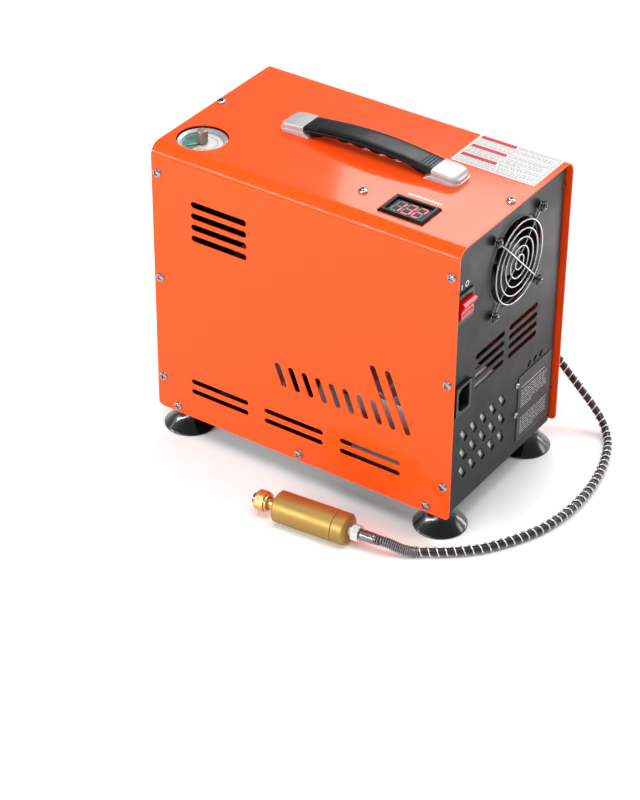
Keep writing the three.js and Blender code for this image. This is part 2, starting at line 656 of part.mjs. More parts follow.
// A spur gear in the (y, z) plane; phase turns it by a fraction of a tooth.
function gearShape(teeth, phase) {
  const pitchRadius = TOOTH_MODULE * teeth / 2;
  const tip = pitchRadius + 0.85 * TOOTH_MODULE;
  const root = pitchRadius - 1.2 * TOOTH_MODULE;
  const step = 2 * Math.PI / teeth;
  const shape = new THREE.Shape();
  const flank = [[root, -0.3], [tip, -0.13], [tip, 0.13], [root, 0.3]];
  for (let i = 0; i < teeth; i += 1) {
    for (const [radius, offset] of flank) {
      const angle = (i + phase + offset) * step;
      const point = [radius * Math.cos(angle), radius * Math.sin(angle)];
      if (i === 0 && offset === -0.3) shape.moveTo(...point);
      else shape.lineTo(...point);
    }
  }
  return shape;
}

function motorShaft() {
  const pinion = alongX(gearShape(PINION_TEETH, 0.5), 81, 95).translate(0, MOTOR.y, MOTOR.z);
  const shaft = rod(MOTOR.shaft, [76, MOTOR.y, MOTOR.z], [MOTOR.x1 + 4, MOTOR.y, MOTOR.z]);
  return join(pinion, shaft);
}

function crank() {
  const gear = alongX(gearShape(GEAR_TEETH, 0), 82, 94).translate(0, MOTOR.y, CRANK_Z);
  const shaft = rod(6, [78, MOTOR.y, CRANK_Z], [CASE.x1 + 3, MOTOR.y, CRANK_Z]);
  const web = rod(15, [74, MOTOR.y, CRANK_Z], [80, MOTOR.y, CRANK_Z], 32);
  const pin = rod(4, [70, MOTOR.y, CRANK_Z - CRANK_THROW], [75, MOTOR.y, CRANK_Z - CRANK_THROW]);
  return join(gear, shaft, web, pin);
}

function crankcase() {
  const { x0, x1, y0, y1, z0, z1, wall } = CASE;
  const shell = box(x0, x1, y0, y1, z0, z1);
  const room = box(x0 - 1, x1 - wall, y0 + wall, y1 - wall, z0 + wall, z1 - wall);
  const shaftHole = rod(MOTOR.shaft + GAP, [90, MOTOR.y, MOTOR.z], [110, MOTOR.y, MOTOR.z]);
  const crankHole = rod(6 + GAP, [90, MOTOR.y, CRANK_Z], [110, MOTOR.y, CRANK_Z]);
  const bore = rod(CYLINDER.bore + GAP, [CYLINDER.x, MOTOR.y, z1 - 10], [CYLINDER.x, MOTOR.y, z1 + 2], 32);
  return cut(shell, room, shaftHole, crankHole, bore);
}

const WRIST_Z = CRANK_Z - CRANK_THROW + ROD_LENGTH;

function connectingRod() {
  const x0 = CYLINDER.x - 3.7;
  const x1 = CYLINDER.x + 3.7;
  const low = WRIST_Z - ROD_LENGTH;
  const bigEnd = rod(8.5, [x0, MOTOR.y, low], [x1, MOTOR.y, low], 28);
  const smallEnd = rod(5.2, [x0, MOTOR.y, WRIST_Z], [x1, MOTOR.y, WRIST_Z]);
  const shank = box(x0 + 1, x1 - 1, MOTOR.y - 3.2, MOTOR.y + 3.2, low + 6, WRIST_Z - 3);
  const bigHole = rod(4.3, [x0 - 1, MOTOR.y, low], [x1 + 1, MOTOR.y, low]);
  const smallHole = rod(2.6, [x0 - 1, MOTOR.y, WRIST_Z], [x1 + 1, MOTOR.y, WRIST_Z], 16);
  return cut(join(bigEnd, smallEnd, shank), bigHole, smallHole);
}

function piston() {
  const at = (dx, z) => [CYLINDER.x + dx, MOTOR.y, z];
  const skirt = rod(CYLINDER.bore - 0.1, at(0, WRIST_Z - 8), at(0, WRIST_Z + 14), 40);
  const hollow = rod(9, at(0, WRIST_Z - 9), at(0, WRIST_Z + 8), 24);
  const wristPin = rod(2.5, at(-10.5, WRIST_Z), at(10.5, WRIST_Z), 16);
  return join(cut(skirt, hollow), wristPin);
}

function finnedCylinder() {
  const { bore, wall, fin, z0, z1 } = CYLINDER;
  const fins = 5;
  const pitch = (z1 - z0) / fins;
  const profile = [[bore, z0], [wall, z0]];
  for (let i = 0; i < fins; i += 1) {
    const low = z0 + pitch * (i + 0.36);
    profile.push([wall, low], [fin, low], [fin, low + 2.4], [wall, low + 2.4]);
  }
  profile.push([wall, z1], [bore, z1], [bore, z0]);
  return turned(profile, 24).translate(CYLINDER.x, MOTOR.y, 0);
}

function cylinderHead() {
  const z = CYLINDER.z1 + GAP;
  const base = turned([[0, z], [24, z], [24, z + 14], [14, z + 15], [14, z + 38], [9, z + 42], [0, z + 42]]);
  const parts = [base];
  for (let i = 0; i < 4; i += 1) {
    const angle = Math.PI * (i / 2 + 0.25);
    const [x, y] = [19 * Math.cos(angle), 19 * Math.sin(angle)];
    parts.push(rod(3, [x, y, z + 12], [x, y, z + 18], 6));
  }
  return join(...parts).translate(CYLINDER.x, MOTOR.y, 0);
}

add('mount_plate', mountPlate(), 'steel');
add('motor_body', motorBody(), 'steel');
add('motor_shaft', motorShaft(), 'steel');
add('crankcase', crankcase(), 'aluminium');
add('crank_gear', crank(), 'steel');
add('connecting_rod', connectingRod(), 'aluminium');
add('piston', piston(), 'aluminium');
add('cylinder', finnedCylinder(), 'aluminium');
add('cylinder_head', cylinderHead(), 'brass');

// ---------- power supply, pipes, outlet block and bleed valve ----------

function powerSupply() {
  const ribs = [];
  for (let i = 0; i < 6; i += 1) {
    ribs.push(box(214 + 14 * i, 220 + 14 * i, 20, 108, 89, 93));
  }
  return join(box(206, 312.7, 16, 112, 2.8, 90), ...ribs);
}

const DELIVERY_ROUTE = [
  [CYLINDER.x + 14.3, 95, 230], [100, 98, 232], [140, 130, 228], [200, 166, 205], [252, 172, 150], [266, 171, 105],
  [267, 170, 78.8]];
const GAUGE_ROUTE = [
  [CYLINDER.x - 14.4, 95, 228], [47, 95, 228], [38, 82, 226], [33, 60, 221], [GAUGE.x, 40, 221],
  [GAUGE.x, GAUGE.y, 229], [GAUGE.x, GAUGE.y, 234.6]];

function bleedValve() {
  const { x, z, radius, end } = BLEED;
  const stem = rod(3.5, [x, 181.3, z], [x, BOX.depth + 2, z], 16);
  const knob = rod(radius, [x, BOX.depth + 1, z], [x, end, z], 20);
  return join(stem, knob);
}

add('power_supply', powerSupply(), 'aluminium');
add('delivery_pipe', tube(DELIVERY_ROUTE, 2.5, 28), 'copper');
add('gauge_pipe', tube(GAUGE_ROUTE, 2, 14), 'copper');
add('outlet_block', box(232, 294, 158, 181, 46, 78.5), 'aluminium');
add('bleed_valve', bleedValve(), 'blackPlastic');

// ---------- hose: gland, hose, and what is on its far end ----------

const FLOOR_LINE = HOSE_RADIUS + 0.5 - FOOT.height;

// A point on the axis of the fittings at the hose's end, this far from the filter's coupler end.
function onFilterAxis(distance) {
  const angle = THREE.MathUtils.degToRad(FILTER.angle);
  return [
    FILTER.x + distance * Math.cos(angle), FILTER.y + distance * Math.sin(angle), FILTER.radius - FOOT.height];
}

const HOSE_ROUTE = [
  [278, 204.3, 62], [278, 210, 62], [278.6, 218, 59.5], [283, 229.5, 50], [289, 234, 41], [297, 236.5, 30],
  [308, 237, 19], [320.5, 236.5, 8], [333, 235, -2], [345, 231, -10], [355, 224, -16], [363.5, 213.5, FLOOR_LINE],
  [372, 197, FLOOR_LINE], [382, 168, FLOOR_LINE], [388, 134, FLOOR_LINE], [389, 101, FLOOR_LINE],
  [384.5, 69, FLOOR_LINE], [373, 38, FLOOR_LINE], [352, 4, FLOOR_LINE], [333, -14.5, FLOOR_LINE],
  [318, -25.5, FLOOR_LINE], [313.5, -28.5, FLOOR_LINE], [309, -31.5, FLOOR_LINE]];
const RELIEF_ROUTE = [
  [308.6, -31.8, FLOOR_LINE], [304, -34.8, FLOOR_LINE], [297, -39, FLOOR_LINE + 2], [289, -43.2, FLOOR_LINE + 6],
  [283, -46, FLOOR_LINE + 8.6], onFilterAxis(FILTER.total + 30.5), onFilterAxis(FILTER.total + 26.9)];

function hoseGland() {
  const y = BOX.depth + GAP;
  const thread = rod(6, [OUTLET.x, 181.3, OUTLET.z], [OUTLET.x, y + 1, OUTLET.z]);
  const hex = rod(9, [OUTLET.x, y, OUTLET.z], [OUTLET.x, y + 6, OUTLET.z], 6);
  const collar = rod(6.2, [OUTLET.x, y + 5, OUTLET.z], [OUTLET.x, 204, OUTLET.z]);
  return join(thread, hex, collar);
}

add('hose_gland', hoseGland(), 'steel');
add('hose', tube(HOSE_ROUTE, HOSE_RADIUS, 56), 'rubber');
add('hose_relief', tube(RELIEF_ROUTE, HOSE_RADIUS, 10), 'steel');

const end = FILTER.total;
const ferrule = rod(5.1, [end + 11.3, 0, 0], [end + 26.6, 0, 0]);
const nutNeck = rod(4.6, [end + GAP, 0, 0], [end + 5, 0, 0]);
const nutHex = rod(8, [end + 4, 0, 0], [end + 11, 0, 0], 6);
const bodyBarrel = turnedX([
  [0, 0], [FILTER.radius - 2, 0], [FILTER.radius, 1.6], [FILTER.radius, FILTER.body], [0, FILTER.body]], 36);
const capBarrel = turnedX([
  [0, FILTER.body + GAP], [FILTER.radius, FILTER.body + GAP], [FILTER.radius, end - 1.6], [FILTER.radius - 1.6, end],
  [0, end]], 36);
const couplerBody = turnedX([
  [0, -GAP], [6.5, -GAP], [6.5, -3], [5.2, -3], [5.2, -24.5], [3.7, -24.5], [3.7, -12], [0, -12]], 28);
const couplerSleeve = turnedX([
  [5.6, -8.5], [8.6, -8.5], [8.6, -10.5], [9.6, -10.5], [9.6, -20], [8.4, -21], [5.6, -21], [5.6, -8.5]], 28);

add('hose_ferrule', ferrule, 'steel', hoseEnd);
add('hose_nut', join(nutNeck, nutHex), 'chrome', hoseEnd);
add('filter_cap', capBarrel, 'brass', hoseEnd);
add('filter_body', bodyBarrel, 'brass', hoseEnd);
add('coupler_body', couplerBody, 'steel', hoseEnd);
add('coupler_sleeve', couplerSleeve, 'brass', hoseEnd);

// ---------- the origin: middle of the footprint, on the floor ----------

const frontEdge = FOOT.inset - FOOT.radius;
const backEdge = BLEED.end;
boxFrame.position.set(-BOX.length / 2, -(frontEdge + backEdge) / 2, FOOT.height);

export default assembly;
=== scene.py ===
import math
import random

import bmesh
import bpy
from mathutils import Matrix, Vector


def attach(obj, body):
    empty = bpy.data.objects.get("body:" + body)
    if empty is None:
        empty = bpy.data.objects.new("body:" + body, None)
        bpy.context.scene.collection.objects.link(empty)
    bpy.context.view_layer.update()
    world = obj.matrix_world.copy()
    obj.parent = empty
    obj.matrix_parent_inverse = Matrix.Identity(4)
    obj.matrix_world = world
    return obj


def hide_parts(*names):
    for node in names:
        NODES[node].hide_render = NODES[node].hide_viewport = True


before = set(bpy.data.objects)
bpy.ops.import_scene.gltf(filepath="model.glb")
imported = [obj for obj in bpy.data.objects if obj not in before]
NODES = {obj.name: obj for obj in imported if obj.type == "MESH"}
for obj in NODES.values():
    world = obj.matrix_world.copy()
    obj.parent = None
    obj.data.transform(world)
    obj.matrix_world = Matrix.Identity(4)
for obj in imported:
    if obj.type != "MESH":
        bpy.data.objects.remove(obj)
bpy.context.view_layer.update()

# Lengths below are in millimetres in the CAD source's own frame: x from the left end, y from the front,
# z up from the cover's lower edge. place() turns such a point into metres in the row frame.
MM = 0.001
SHIFT = Vector((-160.0, -99.5, 24.0))
LENGTH, DEPTH, HEIGHT = 320.0, 190.0, 278.0
SHEET = 1.5
FOLD = 12.0
PANEL_X = 315.0
GAUGE = (30.5, 36.0, HEIGHT - 2.6)
FLOOR_Z = -24.0
HALF_PI = math.pi / 2
FULL_TURN = 2 * math.pi


def place(x, y, z):
    return (Vector((x, y, z)) + SHIFT) * MM


def linked(name, data):
    """A new object in the scene."""
    obj = bpy.data.objects.new(name, data)
    bpy.context.scene.collection.objects.link(obj)
    return obj


# ---------- camera ----------

VIEW = {"azimuth": 0.5914094, "elevation": 0.6067593, "roll": 0.0086494, "distance": 2.18618, "lens": 115.9}
VIEW_TARGET = Vector((0.0726, -0.17468, 0.163))


def add_camera():
    azimuth, elevation, roll = VIEW["azimuth"], VIEW["elevation"], VIEW["roll"]
    level = math.cos(elevation)
    back = Vector((math.sin(azimuth) * level, -math.cos(azimuth) * level, math.sin(elevation)))
    right = Vector((math.cos(azimuth), math.sin(azimuth), 0))
    up = back.cross(right)
    across = math.cos(roll) * right + math.sin(roll) * up
    upright = -math.sin(roll) * right + math.cos(roll) * up
    camera = linked("camera", bpy.data.cameras.new("camera"))
    camera.data.lens = VIEW["lens"]
    turn = Matrix((across, upright, back)).transposed().to_4x4()
    camera.matrix_world = Matrix.Translation(VIEW_TARGET + back * VIEW["distance"]) @ turn
    bpy.context.scene.camera = camera


add_camera()
bpy.context.scene.view_settings.view_transform = "Standard"


# ---------- materials ----------


def tone(hex_color):
    """A linear colour from six hex digits in sRGB."""
    parts = [int(hex_color[i:i + 2], 16) / 255 for i in (0, 2, 4)]
    return tuple(c / 12.92 if c <= 0.04045 else ((c + 0.055) / 1.055) ** 2.4 for c in parts) + (1.0,)


def shade(color, factor):
    return tuple(min(1.0, c * factor) for c in color[:3]) + (1.0,)


class Graph:
    """Short-hand for building one material's node tree."""

    def __init__(self, name):
        self.material = bpy.data.materials.new(name)
        self.material.use_nodes = True
        self.tree = self.material.node_tree
        self.shader = self.tree.nodes["Principled BSDF"]
        self.where = self.add("TexCoord").outputs["Object"]

    def add(self, kind, inputs=None, **settings):
        node = self.tree.nodes.new("ShaderNode" + kind)
        for key, value in settings.items():
            setattr(node, key, value)
        for key, value in (inputs or {}).items():
            self.feed(value, node.inputs[key])
        return node

    def feed(self, value, socket):
        if isinstance(value, bpy.types.NodeSocket):
            self.tree.links.new(value, socket)
        else:
            socket.default_value = value

    def noise(self, scale, detail=3.0, stretch=None):
        vector = self.where
        if stretch:
            vector = self.add("Mapping", {"Vector": vector, "Scale": stretch}).outputs[0]
        return self.add("TexNoise", {"Vector": vector, "Scale": scale, "Detail": detail}).outputs["Fac"]

    def spread(self, value, low, high, start=0.3, stop=0.7):
        span = {"Value": value, "From Min": start, "From Max": stop, "To Min": low, "To Max": high}
        return self.add("MapRange", span).outputs["Result"]

    def mix(self, factor, a, b):
        return self.add("Mix", {0: factor, 6: a, 7: b}, data_type="RGBA").outputs[2]

    def bump(self, height, strength, depth):
        node = self.add("Bump", {"Height": height, "Strength": strength, "Distance": depth})
        self.feed(node.outputs["Normal"], self.shader.inputs["Normal"])

    def edges(self, reach):
        """1 along rounded or cut edges, 0 on flat faces."""
        soft = self.add("Bevel", {"Radius": reach}, samples=4).outputs["Normal"]
        plain = self.add("NewGeometry").outputs["Normal"]
        dot = self.add("VectorMath", {0: soft, 1: plain}, operation="DOT_PRODUCT").outputs["Value"]
        return self.spread(dot, 1.0, 0.0, 0.86, 0.995)


def finish(
    name, slot, color, rough, drift, grain, metal=0.0, smudge=0.05, stretch=None, edge_wear_and_highlight=None, specular=0.5,
    coat=None, **inputs,
):
    """A painted, moulded or metal surface: slow colour drift, smudged roughness, fine grain, and edges
    lightened partly by wear, partly by a painted highlight.
    grain is (scale, strength, depth in mm); the edge colour argument is (amount, colour) for the lighter
    edges, partly wear and partly painted highlight; coat is (weight, roughness)."""
    graph = Graph(name)
    base = tone(color)
    scale, strength, depth = grain
    slow = graph.noise(9.0, 2.0)
    fine = graph.noise(scale, 2.0, stretch)
    blended = graph.mix(graph.spread(slow, 0.0, 1.0), shade(base, 1 - drift), shade(base, 1 + drift))
    blended = graph.mix(graph.spread(fine, 0.0, 0.35), blended, shade(base, 1 - 1.6 * drift))
    # Lighter colour along the edges: worn edges on some finishes, a painted highlight on the orange coat,
    # silver lacquer and plate film.
    if edge_wear_and_highlight:
        patchy = graph.spread(graph.noise(260.0), 0.2, edge_wear_and_highlight[0])
        mask = graph.add("Math", {0: graph.edges(0.0006), 1: patchy}, operation="MULTIPLY").outputs[0]
        blended = graph.mix(mask, blended, tone(edge_wear_and_highlight[1]))
    graph.feed(blended, graph.shader.inputs["Base Color"])
    handled = graph.noise(45.0, 4.0, stretch)
    graph.feed(graph.spread(handled, rough - smudge, rough + smudge), graph.shader.inputs["Roughness"])
    graph.bump(fine, strength, depth * MM)
    if coat:
        inputs.update(Coat_Weight=coat[0], Coat_Roughness=coat[1])
    for key, value in {"Metallic": metal, "Specular_IOR_Level": specular, **inputs}.items():
        graph.shader.inputs[key.replace("_", " ")].default_value = value
    return graph.material


def ink(name, slot, color, rough, drift, scale=1500, **look):
    return finish(name, slot, color, rough, drift, (scale, 0.05, 0.05), **look)


# Its pale orange edge colour is a painted highlight on the sheet's cut edges, not wear.
POWDER = finish(
    "orange_powder_coat", "orange", "fb4b10", 0.5, 0.025, (1500, 0.08, 0.1), edge_wear_and_highlight=(0.35, "ff9a6a"),
    specular=0.05, coat=(0.35, 0.09))
CHARCOAL = finish(
    "charcoal_powder_coat", "charcoal", "1b1b1d", 0.45, 0.06, (1900, 0.14, 0.12), edge_wear_and_highlight=(0.25, "6d6e70"),
    specular=0.2)
RUBBER = finish("foot_rubber", "rubber", "0b0b0c", 0.16, 0.1, (700, 0.05, 0.1), coat=(0.5, 0.12))
GRIP = finish(
    "grip_plastic", "black_plastic", "09090a", 0.32, 0.08, (1700, 0.2, 0.15), edge_wear_and_highlight=(0.2, "4a4a4b"),
    specular=0.14)
PLASTIC = finish(
    "moulded_plastic", "black_plastic", "171718", 0.42, 0.08, (1300, 0.14, 0.15), edge_wear_and_highlight=(0.25, "505052"))
GLOSS = finish(
    "gloss_plastic", "black_gloss", "070708", 0.18, 0.1, (900, 0.04, 0.1), smudge=0.04, coat=(0.4, 0.08))
# Its white edge colour is a painted highlight on the rims of the handle ends and gauge bezel, not wear.
SILVER = finish(
    "silver_lacquer", "satin_silver", "a4a5a6", 0.36, 0.03, (3200, 0.06, 0.08), metal=0.3,
    edge_wear_and_highlight=(0.4, "ffffff"), coat=(0.5, 0.15))
CHROME = finish("bright_zinc", "chrome", "a3a4a6", 0.16, 0.05, (1800, 0.05, 0.08), metal=1.0)
STEEL = finish(
    "turned_steel", "steel", "a3a5a8", 0.3, 0.08, (1400, 0.12, 0.1), metal=1.0, smudge=0.07,
    stretch=(0.15, 1.0, 1.0))
SPRING = finish("spring_steel", "steel", "858488", 0.28, 0.12, (1600, 0.1, 0.1), metal=1.0, smudge=0.08)
NICKEL = finish("nickel_plate", "chrome", "e3dfde", 0.28, 0.05, (1500, 0.08, 0.1), metal=0.85)
ALUMINIUM = finish(
    "cast_aluminium", "aluminium", "b9bbbe", 0.45, 0.08, (1100, 0.3, 0.25), metal=0.9, smudge=0.08,
    edge_wear_and_highlight=(0.3, "e8e8ea"))
ANODISED = finish(
    "supply_case", "aluminium", "c9cbcd", 0.4, 0.05, (2400, 0.1, 0.1), metal=0.7, stretch=(0.05, 1.0, 1.0))
IRON = finish("dark_casting", "iron", "4d5053", 0.5, 0.1, (900, 0.3, 0.3), metal=0.6)
MOTOR_PAINT = finish(
    "motor_paint", "steel", "5f6469", 0.38, 0.08, (1200, 0.15, 0.2), metal=0.3, edge_wear_and_highlight=(0.3, "9a9da0"))
BRASS = finish("knurled_brass", "brass", "a8894a", 0.46, 0.1, (1500, 0.15, 0.1), metal=0.75, smudge=0.07)
PALE_BRASS = finish("pale_brass", "brass", "cfae74", 0.3, 0.06, (1900, 0.08, 0.1), metal=1.0)
COPPER = finish("copper_pipe", "copper", "b7703f", 0.28, 0.12, (900, 0.1, 0.1), metal=1.0, smudge=0.08)
HOSE_BLACK = finish("hose_rubber", "rubber", "121213", 0.36, 0.1, (1400, 0.14, 0.15))
WINDOW = finish(
    "meter_filter", "black_gloss", "0b0909", 0.35, 0.1, (600, 0.02, 0.03), smudge=0.04, specular=0.12)
RED = finish(
    "red_key", "red", "d9141c", 0.2, 0.05, (1200, 0.05, 0.1), smudge=0.04, coat=(0.4, 0.1),
    Subsurface_Weight=0.2)
PAPER = finish("label_film", "paper", "c6c6c5", 0.5, 0.015, (900, 0.04, 0.05), specular=0.2)
PRINT_RED = ink("print_red", "red", "b5141c", 0.5, 0.04, 2000, specular=0.2)
PRINT_GREY = ink("print_grey", "paper", "55565a", 0.5, 0.08, 2000, specular=0.2)
PRINT_BLACK = ink("print_black", "black_plastic", "1b1b1d", 0.5, 0.08, 2000, specular=0.2)
PRINT_WHITE = ink("print_white", "paper", "e9e9e9", 0.45, 0.02, 2000)
DIAL_GREEN = ink("dial_green", "paper", "00805e", 0.4, 0.06)
DIAL_TEAL = ink("dial_teal", "paper", "3f8c86", 0.4, 0.06)
DIAL_YELLOW = ink("dial_yellow", "paper", "e6dc8a", 0.4, 0.05)
# Its light grey edge colour, strong at 0.9, is a painted highlight along the plate's rims.
PLATE_GREY = finish(
    "plate_film", "charcoal", "262725", 0.38, 0.05, (1500, 0.08, 0.1), edge_wear_and_highlight=(0.9, "a9aaa8"), specular=0.25)
KNOB_METAL = finish("knob_metal", "steel", "8f8078", 0.34, 0.1, (1500, 0.1, 0.1), metal=0.6)
SEGMENT_OFF = ink("segment_off", "black_gloss", "5f5c58", 0.5, 0.06)
SEGMENT_ON = ink(
    "segment_on", "red", "c8262a", 0.3, 0.04, Emission_Color=(1.0, 0.05, 0.03, 1.0), Emission_Strength=0.25)
CRYSTAL = finish(
    "gauge_crystal", "glass", "6d7a79", 0.05, 0.01, (300, 0.01, 0.02), smudge=0.02, specular=1.0, Alpha=0.1)


# ---------- outlines ----------


def polar(radius, angle):
    return radius * math.cos(angle), radius * math.sin(angle)


def circle(u, v, radius, steps=56):
    arms = [polar(radius, FULL_TURN * k / steps) for k in range(steps)]
    return [(u + a, v + b) for a, b in arms]


def ring(radius, height, steps, rough=0.0, phase=0):
    """A level ring of points about Z; every second one is sunk by rough."""
    return [
        (*polar(radius - rough * ((k + phase) % 2), FULL_TURN * k / steps), height) for k in range(steps)]


def swung(vector, angle):
    c, s = polar(1, angle)
    return Vector((vector.x * c - vector.y * s, vector.x * s + vector.y * c))


def slot_outline(u0, v0, u1, v1, width):
    """A round-ended slot between two points."""
    angle = math.atan2(v1 - v0, u1 - u0)
    r, steps = width / 2, 8
    c, s = polar(r, angle)
    points = []
    for u, v, start in ((u1 - c, v1 - s, angle - HALF_PI), (u0 + c, v0 + s, angle + HALF_PI)):
        arms = [polar(r, start + math.pi * k / steps) for k in range(steps + 1)]
        points += [(u + a, v + b) for a, b in arms]
    return points


def rectangle(u0, u1, v0, v1):
    return [(u0, v0), (u1, v0), (u1, v1), (u0, v1)]


def rounded(points, radius, steps=5, closed=True):
    """The outline with its corners rounded; radius is one number or one for each corner."""
    count = len(points)
    radii = radius if isinstance(radius, (list, tuple)) else [radius] * count
    out = []
    for i, (corner, r) in enumerate(zip(points, radii)):
        if r <= 0 or (not closed and i in (0, count - 1)):
            out.append(tuple(corner))
            continue
        here = Vector(corner)
        to_last = (Vector(points[i - 1]) - here).normalized()
        to_next = (Vector(points[(i + 1) % count]) - here).normalized()
        half = to_last.angle(to_next) / 2
        if half > HALF_PI - 0.02:
            out.append(tuple(corner))
            continue
        reach = r / math.tan(half)
        middle = here + (to_last + to_next).normalized() * (r / math.sin(half))
        a = here + to_last * reach - middle
        b = here + to_next * reach - middle
        sweep = a.angle_signed(b)
        for k in range(steps + 1):
            t = -sweep * k / steps
            c, s = math.cos(t), math.sin(t)
            out.append((middle.x + a.x * c - a.y * s, middle.y + a.x * s + a.y * c))
    return out


def catmull(points, steps):
    """A smooth line through the points, evenly spaced, by centripetal Catmull-Rom."""
    p = [Vector(q) for q in points]
    p = [2 * p[0] - p[1], *p, 2 * p[-1] - p[-2]]
    line = []
    for i in range(1, len(p) - 2):
        t = [0.0]
        for k in range(3):
            t.append(t[-1] + (p[i + k] - p[i + k - 1]).length ** 0.5)
        for k in range(24):
            s = t[1] + (t[2] - t[1]) * k / 24
            a = [
                ((t[j + 1] - s) * p[i - 1 + j] + (s - t[j]) * p[i + j]) / (t[j + 1] - t[j]) for j in range(3)]
            b = [((t[j + 2] - s) * a[j] + (s - t[j]) * a[j + 1]) / (t[j + 2] - t[j]) for j in range(2)]
            line.append(((t[2] - s) * b[0] + (s - t[1]) * b[1]) / (t[2] - t[1]))
    line.append(p[-2])
    lengths = [0.0]
    for a, b in zip(line, line[1:]):
        lengths.append(lengths[-1] + (b - a).length)
    out, i = [], 0
    for k in range(steps + 1):
        target = lengths[-1] * k / steps
        while i < len(line) - 2 and lengths[i + 1] < target:
            i += 1
        share = (target - lengths[i]) / (lengths[i + 1] - lengths[i])
        out.append(line[i].lerp(line[i + 1], min(1.0, share)))
    return out


def wound(line, radius, pitch, per_turn):
    """A helix laid round a line, whose frames turn as little as the line allows."""
    out = []
    side = (line[1] - line[0]).orthogonal().normalized()
    travelled = 0.0
    samples = []
    for i, point in enumerate(line):
        ahead = (line[min(i + 1, len(line) - 1)] - line[max(i - 1, 0)]).normalized()
        side = (side - ahead * side.dot(ahead)).normalized()
        if i:
            travelled += (point - line[i - 1]).length
        samples.append((travelled, point, side.copy(), ahead.cross(side)))
    turns = travelled / pitch
    count = int(turns * per_turn)
    i = 0
    for k in range(count + 1):
        target = travelled * k / count
        while i < len(samples) - 2 and samples[i + 1][0] < target:
            i += 1
        (da, pa, sa, ua), (db, pb, sb, ub) = samples[i], samples[i + 1]
        share = min(1.0, max(0.0, (target - da) / (db - da)))
        c, s = polar(1, FULL_TURN * turns * k / count)
        out.append(pa.lerp(pb, share) + (sa.lerp(sb, share) * c + ua.lerp(ub, share) * s) * radius)
    return out


# ---------- mesh building, in millimetres ----------

AXES = {
    "x": lambda u, v, w: (w, u, v),
    "y": lambda u, v, w: (u, w, v),
    "z": lambda u, v, w: (u, v, w),
}
SHEET_LOOK = {"weighted": True, "sharp": 60}
PRINT_THICK = 0.03


def along_x(u, a, b):
    return (u, a, b)


def merged(*parts):
    out = bmesh.new()
    for part in parts:
        mesh = bpy.data.meshes.new("part")
        part.to_mesh(mesh)
        part.free()
        out.from_mesh(mesh)
        bpy.data.meshes.remove(mesh)
    return out


def moved(bm, turn, offset=(0, 0, 0)):
    bmesh.ops.transform(bm, matrix=turn.to_4x4(), verts=bm.verts)
    bmesh.ops.translate(bm, vec=offset, verts=bm.verts)
    return bm


def grid(rows, around=True, ends=True):
    """Joins rows of points into a surface; around closes each row, ends closes the first and last."""
    bm = bmesh.new()
    made = [[bm.verts.new(p) for p in row] for row in rows]
    for a, b in zip(made, made[1:]):
        count = max(len(a), len(b))
        for k in range(count if around else count - 1):
            quad = [a[k % len(a)], a[(k + 1) % len(a)], b[(k + 1) % len(b)], b[k % len(b)]]
            corners = list(dict.fromkeys(quad))
            if len(corners) > 2:
                bm.faces.new(corners)
    if ends:
        for row in (made[0], made[-1]):
            if len(row) > 2:
                bm.faces.new(row)
    bmesh.ops.recalc_face_normals(bm, faces=bm.faces)
    return bm


def closed_loft(rows):
    """Joins rows into a surface that ends where it began."""
    bm = grid([*rows, rows[0]], ends=False)
    bmesh.ops.remove_doubles(bm, verts=bm.verts, dist=1e-4)
    return bm


def lathe(profile, steps=72, closed=False):
    """A turned shape about Z from (radius, height) points."""
    rows = [ring(radius, height, steps) if radius > 1e-6 else [(0, 0, height)] for radius, height in profile]
    if closed:
        rows.append(rows[0])
    bm = grid(rows, ends=False)
    bmesh.ops.remove_doubles(bm, verts=bm.verts, dist=1e-5)
    bmesh.ops.recalc_face_normals(bm, faces=bm.faces)
    return bm


def prism(outline, w0, w1, axis="z"):
    to_space = AXES[axis]
    return grid([[to_space(u, v, w) for u, v in outline] for w in (w0, w1)])


def block(x0, x1, y0, y1, z0, z1):
    return prism(rectangle(x0, x1, y0, y1), z0, z1)


def from_object(obj):
    """The object's evaluated mesh as a bmesh; the object is removed."""
    bpy.context.view_layer.update()
    mesh = bpy.data.meshes.new_from_object(obj.evaluated_get(bpy.context.evaluated_depsgraph_get()))
    bm = bmesh.new()
    bm.from_mesh(mesh)
    bpy.data.meshes.remove(mesh)
    bpy.data.objects.remove(obj)
    return bm


def loose_object(bm):
    mesh = bpy.data.meshes.new("loose")
    bm.to_mesh(mesh)
    bm.free()
    return linked("loose", mesh)


def carved(bm, tool):
    """bm less the tool."""
    base, cutter = loose_object(bm), loose_object(tool)
    modifier = base.modifiers.new("cut", "BOOLEAN")
    modifier.object = cutter
    modifier.solver = "EXACT"
    out = from_object(base)
    bpy.data.objects.remove(cutter)
    return out


def flat_sheet(outline, holes, thickness, rim=0.3):
    """A sheet cut to shape, with softened rims and its outer face at w = 0."""
    curve = bpy.data.curves.new("sheet", "CURVE")
    curve.dimensions = "2D"
    curve.fill_mode = "BOTH"
    curve.extrude = thickness / 2 - rim
    curve.bevel_depth = rim
    curve.bevel_resolution = 1
    curve.offset = -rim
    for i, loop in enumerate([outline, *holes]):
        area = sum(a[0] * b[1] - b[0] * a[1] for a, b in zip(loop, loop[1:] + loop[:1]))
        points = loop if (area > 0) == (i == 0) else loop[::-1]
        spline = curve.splines.new("POLY")
        spline.points.add(len(points) - 1)
        for point, (u, v) in zip(spline.points, points):
            point.co = (u, v, 0, 1)
        spline.use_cyclic_u = True
    bm = from_object(linked("sheet", curve))
    bpy.data.curves.remove(curve)
    bmesh.ops.translate(bm, vec=(0, 0, -thickness / 2), verts=bm.verts)
    bmesh.ops.remove_doubles(bm, verts=bm.verts, dist=1e-4)
    return bm


